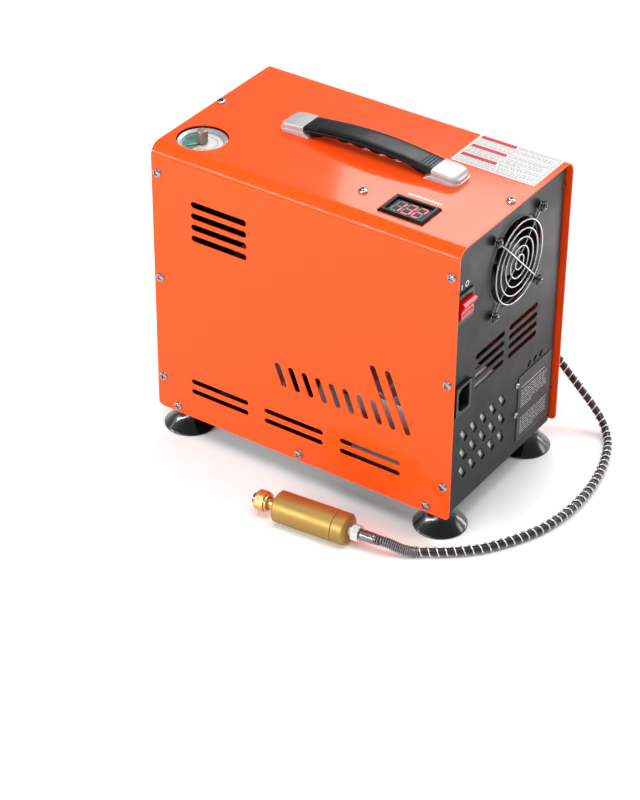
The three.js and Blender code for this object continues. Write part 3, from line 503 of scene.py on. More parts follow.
def folded(bm, legs, start, heading, turn, to_space, steps=10):
    """Bends a flat sheet along v. legs are straight lengths with bend radii between them. Every bend is a
    right angle towards turn, 1 for left or -1 for right, and that side is the sheet's inner side."""
    spans = []
    v, angle, point = 0.0, heading, Vector(start)
    for i, size in enumerate(legs):
        ahead = Vector(polar(1, angle))
        inward = Vector((-ahead.y, ahead.x)) * turn
        if i % 2 == 0:
            spans.append((v, v + size, 0.0, point.copy(), angle))
            point += ahead * size
            v += size
        else:
            arc = HALF_PI * size
            spans.append((v, v + arc, size, point.copy(), angle))
            for k in range(steps + 1):
                bmesh.ops.bisect_plane(
                    bm, geom=bm.verts[:] + bm.edges[:] + bm.faces[:], dist=1e-4,
                    plane_co=(0, v + arc * k / steps, 0), plane_no=(0, 1, 0))
            point += inward * size + ahead * size
            angle += turn * HALF_PI
            v += arc
    for vertex in bm.verts:
        u, v, depth = vertex.co.x, vertex.co.y, -vertex.co.z
        v0, _, radius, point, angle = next((s for s in spans if v <= s[1] + 1e-6), spans[-1])
        ahead = Vector(polar(1, angle))
        inward = Vector((-ahead.y, ahead.x)) * turn
        if radius:
            spot = point + inward * radius + swung(inward * (depth - radius), (v - v0) / radius * turn)
        else:
            spot = point + ahead * (v - v0) + inward * depth
        vertex.co = to_space(u, spot.x, spot.y)
    bmesh.ops.recalc_face_normals(bm, faces=bm.faces)
    return bm


def strips(rectangles, w, axis="z"):
    """Thin printed marks lying on a plane."""
    out = bmesh.new()
    to_space = AXES[axis]
    for u0, u1, v0, v1 in rectangles:
        low, high = (
            [out.verts.new(to_space(u, v, h)) for u, v in rectangle(u0, u1, v0, v1)]
            for h in (w, w + PRINT_THICK))
        out.faces.new(low)
        out.faces.new(high)
        for k in range(4):
            out.faces.new((low[k], low[(k + 1) % 4], high[(k + 1) % 4], high[k]))
    bmesh.ops.recalc_face_normals(out, faces=out.faces)
    return out


# ---------- pieces ----------


def to_mesh(name, bm):
    """A mesh in metres from a bmesh in millimetres, which is freed."""
    mesh = bpy.data.meshes.new(name)
    bmesh.ops.scale(bm, vec=(MM, MM, MM), verts=bm.verts)
    bm.to_mesh(mesh)
    bm.free()
    return mesh


def attached(obj, body, stands_for):
    """Sets an object riding on a body, in place of the CAD nodes it stands for."""
    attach(obj, body)
    if stands_for:
        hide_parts(*stands_for)
    return obj


def piece(name, bm, material, **look):
    """An object from a bmesh in mm, with its look; the keywords are those of dressed()."""
    return dressed(name, to_mesh(name, bm), material, **look)


def dressed(
    name, mesh, material, body="frame", origin=(0, 0, 0), turn=None, stands_for=(), bevel=0.0, segments=2,
    sharp=38, weighted=False,
):
    obj = linked(name, mesh)
    obj.matrix_world = Matrix.Translation(place(*origin)) @ (turn.to_4x4() if turn is not None else Matrix())
    if not mesh.materials:
        mesh.materials.append(material)
    for polygon in mesh.polygons:
        polygon.use_smooth = True
    if bevel:
        softened(obj, bevel * MM, sharp, segments)
    else:
        mesh.set_sharp_from_angle(angle=math.radians(sharp))
    if weighted:
        obj.modifiers.new("flat", "WEIGHTED_NORMAL").keep_sharp = True
    return attached(obj, body, stands_for)


def softened(obj, width, sharp, segments=2):
    """Rounds the edges that turn by more than sharp degrees."""
    edge = obj.modifiers.new("edge", "BEVEL")
    edge.width = width
    edge.segments = segments
    edge.limit_method = "ANGLE"
    edge.angle_limit = math.radians(sharp)
    edge.harden_normals = True


def wires(name, lines, radius, material, stands_for=(), resolution=3):
    """Round wire along lines of mm points; each line is (points, closed)."""
    curve = bpy.data.curves.new(name, "CURVE")
    curve.dimensions = "3D"
    curve.bevel_depth = radius * MM
    curve.bevel_resolution = resolution
    curve.use_fill_caps = True
    for points, closed in lines:
        spline = curve.splines.new("POLY")
        spline.points.add(len(points) - 1)
        for point, p in zip(spline.points, points):
            point.co = (*place(*p), 1)
        spline.use_cyclic_u = closed
        spline.use_smooth = True
    curve.materials.append(material)
    return attached(linked(name, curve), "frame", stands_for)


# ---------- hose: the free cord, its guard, its spring relief and its fittings ----------

HOSE_DIAMETER = 0.007
HOSE_X, HOSE_Z = 278, 62
BLEED_X = 244
FILTER_TURN = math.radians(5)
FILTER_START = (175.9, -56.9)
FILTER_Z = -9.0
FILTER_AXIS = Matrix.Rotation(FILTER_TURN, 3, "Z") @ Matrix.Rotation(HALF_PI, 3, "Y")
KNURL_RADIUS = 14.85
HOSE_ROUTE = [
    (0.278, 0.2043, 0.062), (0.278, 0.210, 0.062), (0.2786, 0.218, 0.0595), (0.283, 0.2295, 0.050),
    (0.289, 0.234, 0.041), (0.297, 0.2365, 0.030), (0.308, 0.237, 0.019), (0.3205, 0.2365, 0.008),
    (0.333, 0.235, -0.002), (0.345, 0.231, -0.010), (0.355, 0.224, -0.016), (0.3635, 0.2135, -0.0185),
    (0.372, 0.197, -0.0185), (0.382, 0.168, -0.0185), (0.388, 0.134, -0.0185), (0.389, 0.101, -0.0185),
    (0.3845, 0.069, -0.0185), (0.373, 0.038, -0.0185), (0.352, 0.004, -0.0185), (0.333, -0.0145, -0.0185),
    (0.318, -0.0255, -0.0185), (0.3135, -0.0285, -0.0185), (0.309, -0.0315, -0.0185)]
RELIEF_ROUTE = [
    (0.3086, -0.0318, -0.0185), (0.304, -0.0348, -0.0185), (0.297, -0.039, -0.0165),
    (0.289, -0.0432, -0.0125), (0.283, -0.046, -0.0099), (0.27901, -0.04788, -0.009),
    (0.27542, -0.04819, -0.009)]


def in_mm(route):
    return [tuple(1000 * c for c in point) for point in route]


def on_filter(name, bm, material, node, along=0.0, **look):
    """A piece turned onto the filter's axis, this far from its coupler end."""
    x, y = polar(along, FILTER_TURN)
    spot = (FILTER_START[0] + x, FILTER_START[1] + y, FILTER_Z)
    return piece(name, bm, material, origin=spot, turn=FILTER_AXIS, stands_for=[node], **look)


def hexagon(radius, low, high):
    return prism(circle(0, 0, radius, 6), low, high)


def knurled(low, high, chamfer):
    """A knurled barrel: raised and sunk points alternate, so every raised one is a small pyramid."""
    under, over = chamfer
    around, pitch, depth, margin = 188, 0.5, 0.13, 0.3
    first, last = low + under + margin, high - over - margin
    count = int((last - first) / pitch)
    smooth = KNURL_RADIUS - 0.12
    rows = [[(0, 0, low)], ring(smooth - under - 0.08, low, around), ring(smooth, low + under, around)]
    for j in range(count + 1):
        rows.append(ring(KNURL_RADIUS, first + (last - first) * j / count, around, depth, j))
    rows += [ring(smooth, high - over, around), ring(smooth - over - 0.08, high, around), [(0, 0, high)]]
    return grid(rows, ends=False)


def add_hose():
    hose_line = catmull(in_mm(HOSE_ROUTE), 220)
    relief_line = catmull(in_mm(RELIEF_ROUTE), 40)
    cord = wires(
        "hose_line", [(hose_line + relief_line[1:], False)], 500 * HOSE_DIAMETER, HOSE_BLACK,
        stands_for=["hose", "hose_relief"], resolution=5)
    guard = wires("hose_guard", [(wound(hose_line, 4.2, 7.7, 22), False)], 0.6, NICKEL, resolution=2)
    spring = wires(
        "hose_relief_spring", [(wound(relief_line, 4.35, 1.9, 16), False)], 0.62, SPRING, resolution=2)
    collar = [(3.6, 0), (4.7, 0), (5.1, 0.5), (5.1, 13.6), (4.8, 14.6), (4.8, 15), (3.6, 15)]
    ferrule = on_filter(
        "hose_ferrule_sleeve", lathe(rounded(collar, 0.2), closed=True), SPRING, "hose_ferrule", 84.4)
    rounding = [
        (7.2, -1), (7.2, 0.02), (8.6, 0.9), (8.6, 6.1), (7.2, 6.98), (7.2, 8), (12, 8), (12, -1)]
    nut = carved(hexagon(8, 0, 7), lathe(rounding, closed=True))
    neck = lathe([(0, -3.7), (4.6, -3.7), (4.6, 0.5), (0, 0.5)])
    fitting = on_filter("hose_hex_nut", merged(nut, neck), NICKEL, "hose_nut", 77.05, bevel=0.25)
    barrel = on_filter("filter_barrel", knurled(0, 60, (1.5, 0.25)), BRASS, "filter_body", sharp=60)
    cap = on_filter(
        "filter_end_cap", knurled(60.3, 73, (0.25, 1.6)), BRASS, "filter_cap", body="cap", sharp=60)
    stem = rounded(
        [(0, -0.3), (6.5, -0.3), (6.5, -3), (5.2, -3.2), (5.2, -20.9), (4.7, -21.4), (5.0, -22), (5.0, -24.2),
         (4.6, -24.5), (3.7, -24.5), (3.7, -12), (0, -12)], 0.15, closed=False)
    coupler = on_filter("coupler_stem", lathe(stem), PALE_BRASS, "coupler_body")
    coupler.data.materials.append(SPRING)
    for polygon in coupler.data.polygons:
        if polygon.center.z < -20.5 * MM:
            polygon.material_index = 1
    outer = [
        (5.6, -8.5, 0), (8.1, -8.5, 0), (8.6, -9, 0), (8.6, -10.2, 0), (8.2, -10.5, 0), (8.2, -11, 0),
        (9.5, -11.3, 0), *((9.6, -11.6 - 0.55 * k, 0.28) for k in range(15)), (9.3, -20.0, 0),
        (8.4, -20.6, 0), (8.0, -21, 0), (5.6, -21, 0)]
    rows = [ring(radius, height, 96, rough) for radius, height, rough in outer]
    sleeve = on_filter(
        "coupler_ring", closed_loft(rows), PALE_BRASS, "coupler_sleeve", body="sleeve", sharp=50)
    gland = add_gland()


def add_gland():
    collar = lathe(rounded([(0, 5), (6.2, 5), (6.2, 12.6), (5.2, 13.7), (0, 13.7)], 0.3, closed=False))
    thread = lathe([(0, -9), (5.9, -9), (5.9, 0.5), (0, 0.5)])
    return piece(
        "hose_gland_nut", merged(hexagon(9, 0, 6), collar, thread), STEEL,
        origin=(HOSE_X, DEPTH + 0.3, HOSE_Z), turn=Matrix.Rotation(-HALF_PI, 3, "X"),
        stands_for=["hose_gland"], bevel=0.3)


add_hose()


# ---------- cover: one sheet folded over front, top and back ----------

FRONT_LEG = HEIGHT - FOLD
TOP_START = FRONT_LEG + HALF_PI * FOLD
TOP_LEG = DEPTH - 2 * FOLD
SHEET_END = TOP_START + TOP_LEG + HALF_PI * FOLD + FRONT_LEG
UPPER_ROWS = (231, 219.5, 208, 196.5)


def on_top(y):
    """Distance along the unfolded cover of a place on its top."""
    return TOP_START + y - FOLD


def on_back(z):
    return SHEET_END - z


def add_cover():
    holes = [slot_outline(42.5, z, 103, z, 6.8) for z in UPPER_ROWS]
    holes += [slot_outline(x, z, x + 64.5, z, 5.7) for z in (40.7, 29.8) for x in (38.8, 121, 203.5)]
    holes += [slot_outline(134.5 + 14.6 * i, 98, 143.8 + 14.6 * i, 74.5, 6.2) for i in range(8)]
    holes += [slot_outline(x, 134, x + 24.5, 74.5, 6.2) for x in (235.5, 251.2)]
    back_rows = [on_back(z) for z in UPPER_ROWS]
    holes += [slot_outline(x, v, x + 60.5, v, 6.8) for v in back_rows for x in (42.5, 217)]
    holes += [circle(HOSE_X, on_back(HOSE_Z), 6.3), circle(BLEED_X, on_back(HOSE_Z), 4)]
    holes += [circle(GAUGE[0], on_top(GAUGE[1]), 23.5, 96), rectangle(227.5, 269.5, on_top(20), on_top(48.5))]
    sheet = flat_sheet(rounded(rectangle(0, LENGTH, 0, SHEET_END), 5), holes, SHEET)
    legs = [FRONT_LEG, FOLD, TOP_LEG, FOLD, FRONT_LEG]
    bent = folded(sheet, legs, (0, 0), HALF_PI, -1, along_x, 14)
    piece("cover_sheet", bent, POWDER, stands_for=["cover"], **SHEET_LOOK)


add_cover()


# ---------- chassis: floor tray and two end panels with their flanges ----------


def panel_holes(slots_from):
    """Vents in an end panel as (y, z) outlines: level slots above a given height, and the leaning field."""
    holes = []
    for z in (slots_from + 30, slots_from + 20, slots_from + 10, slots_from):
        holes += [slot_outline(43, z, 92, z, 5.6), slot_outline(100, z, 149, z, 5.6)]
    lean = math.radians(-58)
    along = Vector((math.cos(lean), math.sin(lean))) * 7.8
    across = Vector((-math.sin(lean), math.cos(lean))) * 2.9
    for column in range(5):
        for row in range(3):
            middle = Vector((29 + 16.4 * column, 35 + 19.8 * row))
            corners = [middle + along * a + across * b for a, b in ((1, 1), (-1, 1), (-1, -1), (1, -1))]
            holes.append(rounded([tuple(c) for c in corners], 0.8, 2))
    return holes


FAN_Y, FAN_Z = 103.5, 216.5
FAN_EYE = 37.5
CORNERS = [(a, b) for a in (-1, 1) for b in (-1, 1)]
FAN_SCREWS = [(FAN_Y + a * FAN_EYE, FAN_Z + b * FAN_EYE) for a, b in CORNERS]
PLATE_SCREWS = [(119.2, 43.9), (119.2, 76.4)]


def end_panel(slots_from, extra):
    """One end, with its front and back flanges bent off it, drawn for the right end."""
    inset, bend, flange, crown = 1.8, 6.0, 6.0, 10.5
    arc = HALF_PI * bend
    width = DEPTH - 2 * inset - 2 * bend
    shift = inset + bend - (flange + arc)
    top = HEIGHT - inset
    low = top - crown

    def rise(y):
        reach = inset + crown - min(y, DEPTH - y)
        return low + math.sqrt(crown ** 2 - max(0.0, reach) ** 2)

    side = [(0, low), (flange, low)]
    for k in range(1, 9):
        turned = HALF_PI * k / 8
        side.append((flange + arc * k / 8, rise(inset + bend * (1 - math.cos(turned)))))
    side += [(y - shift, rise(y)) for y in (9, 10.5, 12.3)]
    total = 2 * (flange + arc) + width
    outline = [(0, 1), *side, *[(total - u, v) for u, v in reversed(side)], (total, 1)]
    holes = [[(z, y - shift) for y, z in hole] for hole in panel_holes(slots_from) + extra]
    flat = flat_sheet([(v, u) for u, v in outline], holes, SHEET, 0.25)
    start = (PANEL_X - flange - bend, inset)
    sheet = folded(flat, [flange, bend, width, bend, flange], start, 0, 1, lambda u, a, b: (a, b, u), 8)
    return merged(sheet, block(PANEL_X - 12, PANEL_X - 2, 12.5, DEPTH - 12.5, top - SHEET, top))


def mirrored(bm, about=0.0):
    """bm mirrored in x, about this plane."""
    for vertex in bm.verts:
        vertex.co.x = 2 * about - vertex.co.x
    bmesh.ops.reverse_faces(bm, faces=bm.faces)
    return bm


def add_chassis():
    extra = [circle(FAN_Y, FAN_Z, 42, 96), rounded(rectangle(6.3, 29.5, 203.4, 226), 1, 3)]
    extra += [slot_outline(y - 2.5, 86.3, y + 2.5, 91.5, 3.6) for y in (140.2, 150.7, 161.3)]
    extra += [slot_outline(34.9, 103.2, 37.6, 106.6, 2.8)]
    extra += [rounded(rectangle(10, 31.2, 106.5, 133.7), 1, 3)]
    extra += [circle(y, z, 2.2, 20) for y, z in FAN_SCREWS] + [circle(y, z, 1.8, 20) for y, z in PLATE_SCREWS]
    piece("end_panel_right", end_panel(118, extra), CHARCOAL, **SHEET_LOOK)
    left = mirrored(end_panel(202, []), LENGTH / 2)
    left = carved(left, prism(circle(GAUGE[0], GAUGE[1], 23.7, 96), HEIGHT - 20, HEIGHT))
    piece("end_panel_left", left, CHARCOAL, **SHEET_LOOK)
    wall, bend, width = 11, 2, DEPTH - 7.6
    flat = rounded(rectangle(7, LENGTH - 7, 0, 24 + math.pi + width), 1)
    legs = [wall, bend, width, bend, wall]
    tray = folded(flat_sheet(flat, [], SHEET, 0.25), legs, (1.8, 14), -HALF_PI, 1, along_x, 5)
    piece("chassis_tray", tray, CHARCOAL, stands_for=["chassis"], **SHEET_LOOK)


add_chassis()


# ---------- screws ----------


def cross_screw(name, radius, rise, shank, length):
    """Mesh of a pan head with a cross recess, standing on z = 0."""
    dome = ((1, 0), (1, 0.28), (0.94, 0.55), (0.78, 0.8), (0.5, 0.95), (0, 1))
    head = [(0, -length), (shank, -length), (shank, -0.1), *((a * radius, b * rise) for a, b in dome)]
    bm = lathe(rounded(head, 0.12 * rise, 3, closed=False), 40)
    reach, half = 0.6 * radius, 0.16 * radius
    for x, y in ((reach, half), (half, reach)):
        bm = carved(bm, block(-x, x, -y, y, 0.45 * rise, 2 * rise))
    return to_mesh(name, bm)


FACING = {
    "front": Matrix.Rotation(HALF_PI, 3, "X"),
    "back": Matrix.Rotation(-HALF_PI, 3, "X"),
    "top": Matrix.Identity(3),
    "right": Matrix.Rotation(HALF_PI, 3, "Y"),
    "below": Matrix.Rotation(math.pi, 3, "X"),
}


def add_screws():
    spin = random.Random(11)

    def screw(name, mesh, side, spot, **look):
        turn = FACING[side] @ Matrix.Rotation(spin.uniform(0, HALF_PI), 3, "Z")
        dressed(name, mesh, CHROME, origin=spot, turn=turn, sharp=32, **look)

    pan = cross_screw("pan_screw", 4.5, 2.8, 1.5, 5)
    upright = [(x, z) for x in (7, 313) for z in (251.5, 143, 34.7)] + [(23, 7), (159.5, 7), (296, 7)]
    spots = [("front", (x, 0, z)) for x, z in upright] + [("back", (x, DEPTH, z)) for x, z in upright]
    spots += [("top", (x, y, HEIGHT)) for x, y in ((5.6, 99), (199, 38), (311.5, 96))]
    for i, (side, spot) in enumerate(spots, 1):
        screw(f"cover_screw_{i:02d}", pan, side, spot)
    small = cross_screw("small_screw", 2.8, 1.9, 1.4, 7)
    for i, (y, z) in enumerate(PLATE_SCREWS, 1):
        spot = (PANEL_X + 0.3, y, z)
        screw(f"plate_cross_screw_{i}", small, "right", spot, stands_for=[f"plate_screw_{i}"])
    dome = [
        (0, -24), (1.9, -24), (1.9, 0), (4.8, 0), (4.8, 0.7), (4.5, 1.7), (3.8, 2.6), (2.6, 3.3), (1.3, 3.55),
        (0, 3.6)]
    for i, (y, z) in enumerate(FAN_SCREWS, 1):
        head = carved(lathe(dome, 48), lathe([(0, 2.9), (1.25, 2.9), (1.4, 5), (0, 5)], 6))
        piece(
            f"fan_dome_screw_{i}", head, GLOSS, origin=(PANEL_X + 3.2, y, z), turn=FACING["right"],
            stands_for=[f"fan_screw_{i}"], sharp=35)
    fixing = cross_screw("foot_screw", 5, 2.6, 2, 4)
    for i, (x, y) in enumerate(FEET.values(), 1):
        spot = (x, y, FLOOR_Z + 6.5)
        dressed(f"foot_fixing_screw_{i}", fixing, CHROME, origin=spot, turn=FACING["below"], sharp=32)


# ---------- feet ----------

FOOT_IN = 21
FEET = {
    f"{row}_{side}": (x, y)
    for side, x in (("left", FOOT_IN), ("right", LENGTH - FOOT_IN))
    for row, y in (("front", FOOT_IN), ("back", DEPTH - FOOT_IN))}


def add_feet():
    flare = [(12.4, -4.6), (12.9, -7), (14.6, -10.5), (17.6, -14.6), (21.3, -18.8), (24.6, -22.4)]
    profile = [(0, 0.7), (11.6, 0.7), (12.3, 0.4), (12.4, -0.4)] + [(p.x, p.y) for p in catmull(flare, 18)]
    profile += [(25, -23), (25, -23.7), (24.7, -24), (24, -24), (23.4, -23.8), (19, -20), (11.4, -17.6)]
    cup = [*profile, (0, -17.5)]
    for name, (x, y) in FEET.items():
        piece(
            f"foot_cup_{name}", lathe(cup, 112), RUBBER, origin=(x, y, 0), stands_for=[f"foot_{name}"],
            sharp=50)


add_feet()
add_screws()


# ---------- carry handle ----------

HANDLE = {"x0": 76.0, "x1": 263.0, "y0": 86.0, "y1": 114.0, "cap": 27.0}
HANDLE_MID = (HANDLE["x0"] + HANDLE["x1"]) / 2
HANDLE_Y = (HANDLE["y0"] + HANDLE["y1"]) / 2


def level(x, points):
    """Height at x on a line through (x, height) points."""
    for (xa, ha), (xb, hb) in zip(points, points[1:]):
        if x <= xb:
            return ha + (hb - ha) * (x - xa) / (xb - xa)
    return points[-1][1]


def cap_layer(stations, inset, floor_line, top_line, chamfer):
    """One level of an end cap, lofted along x; stations are distances from the cap's outer end."""
    corner = 8.0
    rows = []
    for s in stations:
        reach = min(corner, max(0.0, corner - (s - inset)))
        half = 14.0 - inset - corner + math.sqrt(corner ** 2 - reach ** 2)
        low, high = level(s, floor_line), level(s, top_line)
        drop = min(chamfer, (high - low) * 0.45)
        side = [(half, low), (half, high - drop), (half - drop * 0.45, high - drop * 0.25),
                (half - drop * 1.4, high)]
        rows.append([(s, -v, w) for v, w in side] + [(s, v, w) for v, w in reversed(side)])
    return grid(rows)


def handle_cap():
    top = [(0, 3.3), (1.6, 5.6), (5.5, 7.9), (14, 9.6), (27, 10.3), (27.8, 6.5), (33.5, 1.6)]
    split = [(0, 1.7), (4, 2.9), (14, 4.2), (26, 4.9), (33.5, 1.4)]
    under = [(0, 0.3), (33.5, 0.3)]
    lower_top = [(0, 1.9), (4, 3.1), (14, 4.4), (26.6, 5.1), (27.6, 4.6), (33.5, 1.0)]
    stations = [0.02, 0.35, 1, 2, 3.3, 5, 7, 9.5, 13, 17, 21, 24.5, 26.6]
    inner = [s + 0.9 for s in stations[:-1]] + [26.8]
    upper = cap_layer(inner, 0.9, [(x, h + 0.35) for x, h in split], top, 1.5)
    lower = cap_layer(stations + [28, 30.5, 33.3], 0.0, under, lower_top, 0.7)
    core = cap_layer([3, 6, 12, 20, 26], 1.8, [(0, 1), (33.5, 1)], [(x, h + 0.6) for x, h in split], 0.2)
    return merged(upper, lower, core)


def add_handle():
    for side, x in (("left", HANDLE["x0"]), ("right", HANDLE["x1"])):
        cap = handle_cap() if side == "left" else mirrored(handle_cap())
        piece(
            f"handle_end_{side}", cap, SILVER, origin=(x, HANDLE_Y, HEIGHT),
            stands_for=[f"handle_cap_{side}"], bevel=0.35, segments=3, sharp=24)
    piece(
        "handle_grip_band", grip_mesh(), GRIP, origin=(0, HANDLE_Y, HEIGHT), stands_for=["handle_grip"],
        sharp=40)


def grip_mesh():
    """The bowed grip: grooves near its ends, a band round its sides, finger waves under its middle."""
    start = HANDLE["x0"] + HANDLE["cap"] + 0.6
    end = HANDLE["x1"] - HANDLE["cap"] - 0.6
    span = end - start
    grooves = [start + 3.2 + 2.9 * k for k in range(4)]
    grooves += [start + end - g for g in grooves]
    stations = {start + span * k / 72 for k in range(73)}
    stations |= {g + step for g in grooves for step in (-0.55, -0.3, 0.3, 0.55)}
    rows = []
    for x in sorted(stations):
        top = 9.95 + 5.3 * math.sin(math.pi * (x - start) / span)
        middle = top - (0.55 if any(abs(x - g) <= 0.31 for g in grooves) else 0.0)
        edge = min(x - start, end - x)
        band = top - 5 + (0.9 if edge < 0.7 else 0)
        belly = level(edge, [(0, top - 3.7), (1.5, top - 4.2), (7, 2.2), (15, 3.4), (24, 7.9), (200, 7.9)])
        finger = (x - HANDLE_MID) / 17
        if abs(finger) < 2:
            belly = 6.7 + 2.2 * abs(math.cos(math.pi * finger)) ** 3
        belly = min(belly, band - 0.05) if edge > 1.5 else band - 0.1
        half = [
            (0, middle + 0.15), (6, middle + 0.1), (10.6, middle), (11.3, top - 0.3), (11.5, top - 1.1),
            (12.1, top - 1.5), (12.9, top - 1.9), (13.4, top - 2.7), (13.3, top - 3.7), (12.4, band + 0.25),
            (12.1, band), (12.0, band - 0.02), (11.9, min(band - 0.03, belly + 1.1)),
            (11.4, min(band - 0.04, belly + 0.35)), (10.3, belly), (0, belly)]
        rows.append([(x, y, z) for y, z in half] + [(x, -y, z) for y, z in reversed(half[1:-1])])
    return grid(rows)


add_handle()


# ---------- pressure gauge ----------


DIAL_Z = -3.5


def sector(r0, r1, a0, a1, w, steps=40, thick=0.02):
    """A printed ring sector between two angles, in degrees."""
    corners = ((r0, w), (r1, w), (r1, w + thick), (r0, w + thick))
    angles = [math.radians(a0 + (a1 - a0) * k / steps) for k in range(steps + 1)]
    return grid([[(*polar(r, a), h) for r, h in corners] for a in angles])


def dial_print():
    """Coloured sectors, scale marks and arcs of the dial, one mesh with several inks."""
    green = [sector(2.0, 18.4, 118, 192, DIAL_Z + 0.01)]
    teal = [sector(2.0, 18.4, 192.6, 262, DIAL_Z + 0.01)]
    yellow = [sector(10.6, 12.2, -86, 20, DIAL_Z + 0.015), sector(4.6, 5.4, -86, 20, DIAL_Z + 0.015)]
    black = [sector(13.6, 13.9, -97, 262, DIAL_Z + 0.04)]
    for k in range(41):
        angle = 225 - 270 * k / 40
        inner = 11.2 if k % 10 == 0 else 12.3 if k % 5 == 0 else 12.9
        half = 0.75 if k % 10 == 0 else 0.4
        black.append(sector(inner, 13.8, angle - half, angle + half, DIAL_Z + 0.04, 1))
    white = [sector(2.0, 18.4, 191.9, 192.7, DIAL_Z + 0.02, 4)]
    out = bmesh.new()
    for index, parts in enumerate((green, teal, yellow, black, white)):
        group = merged(*parts)
        for face in group.faces:
            face.material_index = index
        out = merged(out, group)
    return out


def needle(tail, tip, half, w0, w1, angle):
    blade = [(-tail, -half), (tip - 3, -0.32), (tip, 0), (tip - 3, 0.32), (-tail, half)]
    return moved(prism(blade, w0, w1), Matrix.Rotation(angle, 3, "Z"))


def on_gauge(name, bm, material, node, **look):
    return piece(name, bm, material, origin=GAUGE, stands_for=[node], **look)


def add_gauge():
    bezel = [
        (19.0, -4.9), (23.2, -4.9), (23.2, -0.9), (22.8, -0.2), (22.0, 0), (21.2, -0.15), (20.2, -0.6),
        (19.2, -1.2), (18.8, -1.5), (18.8, -2.0), (19.0, -2.2)]
    on_gauge("gauge_rim", lathe(rounded(bezel, 0.12), 128, closed=True), SILVER, "gauge_bezel", sharp=50)
    plate = lathe([(1.6, -4.9), (18.9, -4.9), (18.9, DIAL_Z), (1.6, DIAL_Z)], 96, closed=True)
    on_gauge("gauge_face", plate, PRINT_WHITE, "gauge_dial")
    mesh = to_mesh("gauge_print", dial_print())
    for material in (DIAL_GREEN, DIAL_TEAL, DIAL_YELLOW, PRINT_BLACK, PRINT_WHITE):
        mesh.materials.append(material)
    dressed("gauge_print", mesh, PRINT_WHITE, origin=GAUGE)
    disc = lathe([(2.3, -2.3), (18.7, -2.3), (18.7, -1.8), (2.3, -1.8)], 96, closed=True)
    on_gauge("gauge_crystal_disc", disc, CRYSTAL, "gauge_lens")
    zero = 4.1
    hub = lathe([(0, -8), (1.2, -8), (1.2, -3.35), (2.5, -3.35), (2.6, -3.2), (2.5, -3.05), (0, -3.05)], 40)
    on_gauge(
        "gauge_pressure_needle", merged(hub, needle(4.5, 15.5, 0.85, -3.3, -3.1, zero)), PRINT_BLACK,
        "gauge_pointer", body="pointer", sharp=35)
    hub = lathe([(0, -2.95), (2.7, -2.95), (2.8, -2.75), (2.7, -2.55), (0, -2.55)], 40)
    on_gauge(
        "gauge_cutoff_needle", merged(hub, needle(2.5, 15.0, 1.05, -2.85, -2.6, zero - 0.06)), DIAL_YELLOW,
        "gauge_set_pointer", body="set_knob", sharp=35)
    fluted = (
        (2, -2.9, 0), (2, -1.6, 0), (4.4, -1.6, 0), (4.75, -1.3, 0), (4.9, -0.9, 0.22), (4.9, 8.9, 0.22),
        (4.7, 9.4, 0), (4.6, 9.6, 0), (4.3, 10.1, 0), (3.9, 10.2, 0))
    rows = [ring(radius, height, 72, rough) for radius, height, rough in fluted]
    knob = grid([[(0, 0, -2.9)], *rows, [(0, 0, 10.15)]], ends=False)
    on_gauge("gauge_cutoff_knob", knob, KNOB_METAL, "gauge_knob", body="set_knob", sharp=45)


add_gauge()


# ---------- panel meter ----------

METER = (225.5, 271.5, 18.0, 50.5)
ON_LID = (0, 0, HEIGHT)
ON_GLASS = (0, 0, HEIGHT + 0.37)
SEGMENTS = {"1": "bc", "3": "abgcd", "2": "abged"}
DIGIT_WIDTH, DIGIT_TALL, DIGIT_PITCH = 7.4, 15.6, 10.4


def digit(left, low, lit):
    """Seven bars of one digit, sorted into lit and unlit; it slants a little, as such displays do."""
    t = 0.105 * DIGIT_WIDTH
    right, mid, top = left + DIGIT_WIDTH, low + DIGIT_TALL / 2, low + DIGIT_TALL
    bars = {
        "a": (left, top, right, top), "d": (left, low, right, low), "g": (left, mid, right, mid),
        "f": (left, mid, left, top), "b": (right, mid, right, top), "e": (left, low, left, mid),
        "c": (right, low, right, mid)}
    made = {True: [], False: []}
    for name, (u0, v0, u1, v1) in bars.items():
        a, b = Vector((u0, v0)), Vector((u1, v1))
        way = (b - a).normalized()
        side = Vector((-way.y, way.x)) * t
        a, b = a + way * 0.5 * t, b - way * 0.5 * t
        shape = [a, a + way * t - side, b - way * t - side, b, b - way * t + side, a + way * t + side]
        outline = [(p.x + 0.09 * (p.y - low), p.y) for p in shape]
        made[name in lit].append(prism(outline, 0, 0.08))
    return made


def add_meter():
    x0, x1, y0, y1 = METER

    def inside(inset):
        return rectangle(x0 + inset, x1 - inset, y0 + inset, y1 - inset)

    rows = []
    for inset, height in ((0, 0.2), (0, 0.9), (2.1, 2.7), (4.2, 2.7), (5, 1.9), (5, -1.9)):
        rows.append([(u, v, height) for u, v in rounded(inside(inset), max(0.4, 1.2 - 0.2 * inset), 3)])
    case = merged(grid(rows, ends=False), prism(inside(2.4), -26, -1.9))
    piece("meter_bezel", case, GRIP, origin=ON_LID, stands_for=["meter_housing"], bevel=0.22, sharp=30)
    glass = prism(rounded(inside(5.3), 0.5, 2), -1.7, 0.35)
    piece("meter_glass", glass, WINDOW, origin=ON_LID, stands_for=["meter_window"], bevel=0.15)
    digits = [
        digit(x0 + 8.0 + DIGIT_PITCH * i, y0 + 8.4, SEGMENTS[figure]) for i, figure in enumerate("132")]
    for name, state, material in (("lit", True, SEGMENT_ON), ("dark", False, SEGMENT_OFF)):
        bars = [bar for made in digits for bar in made[state]]
        piece(f"meter_segments_{name}", merged(*bars), material, origin=ON_GLASS, sharp=30)


add_meter()


# ---------- label and rating plate: generic bars and lines in place of text ----------


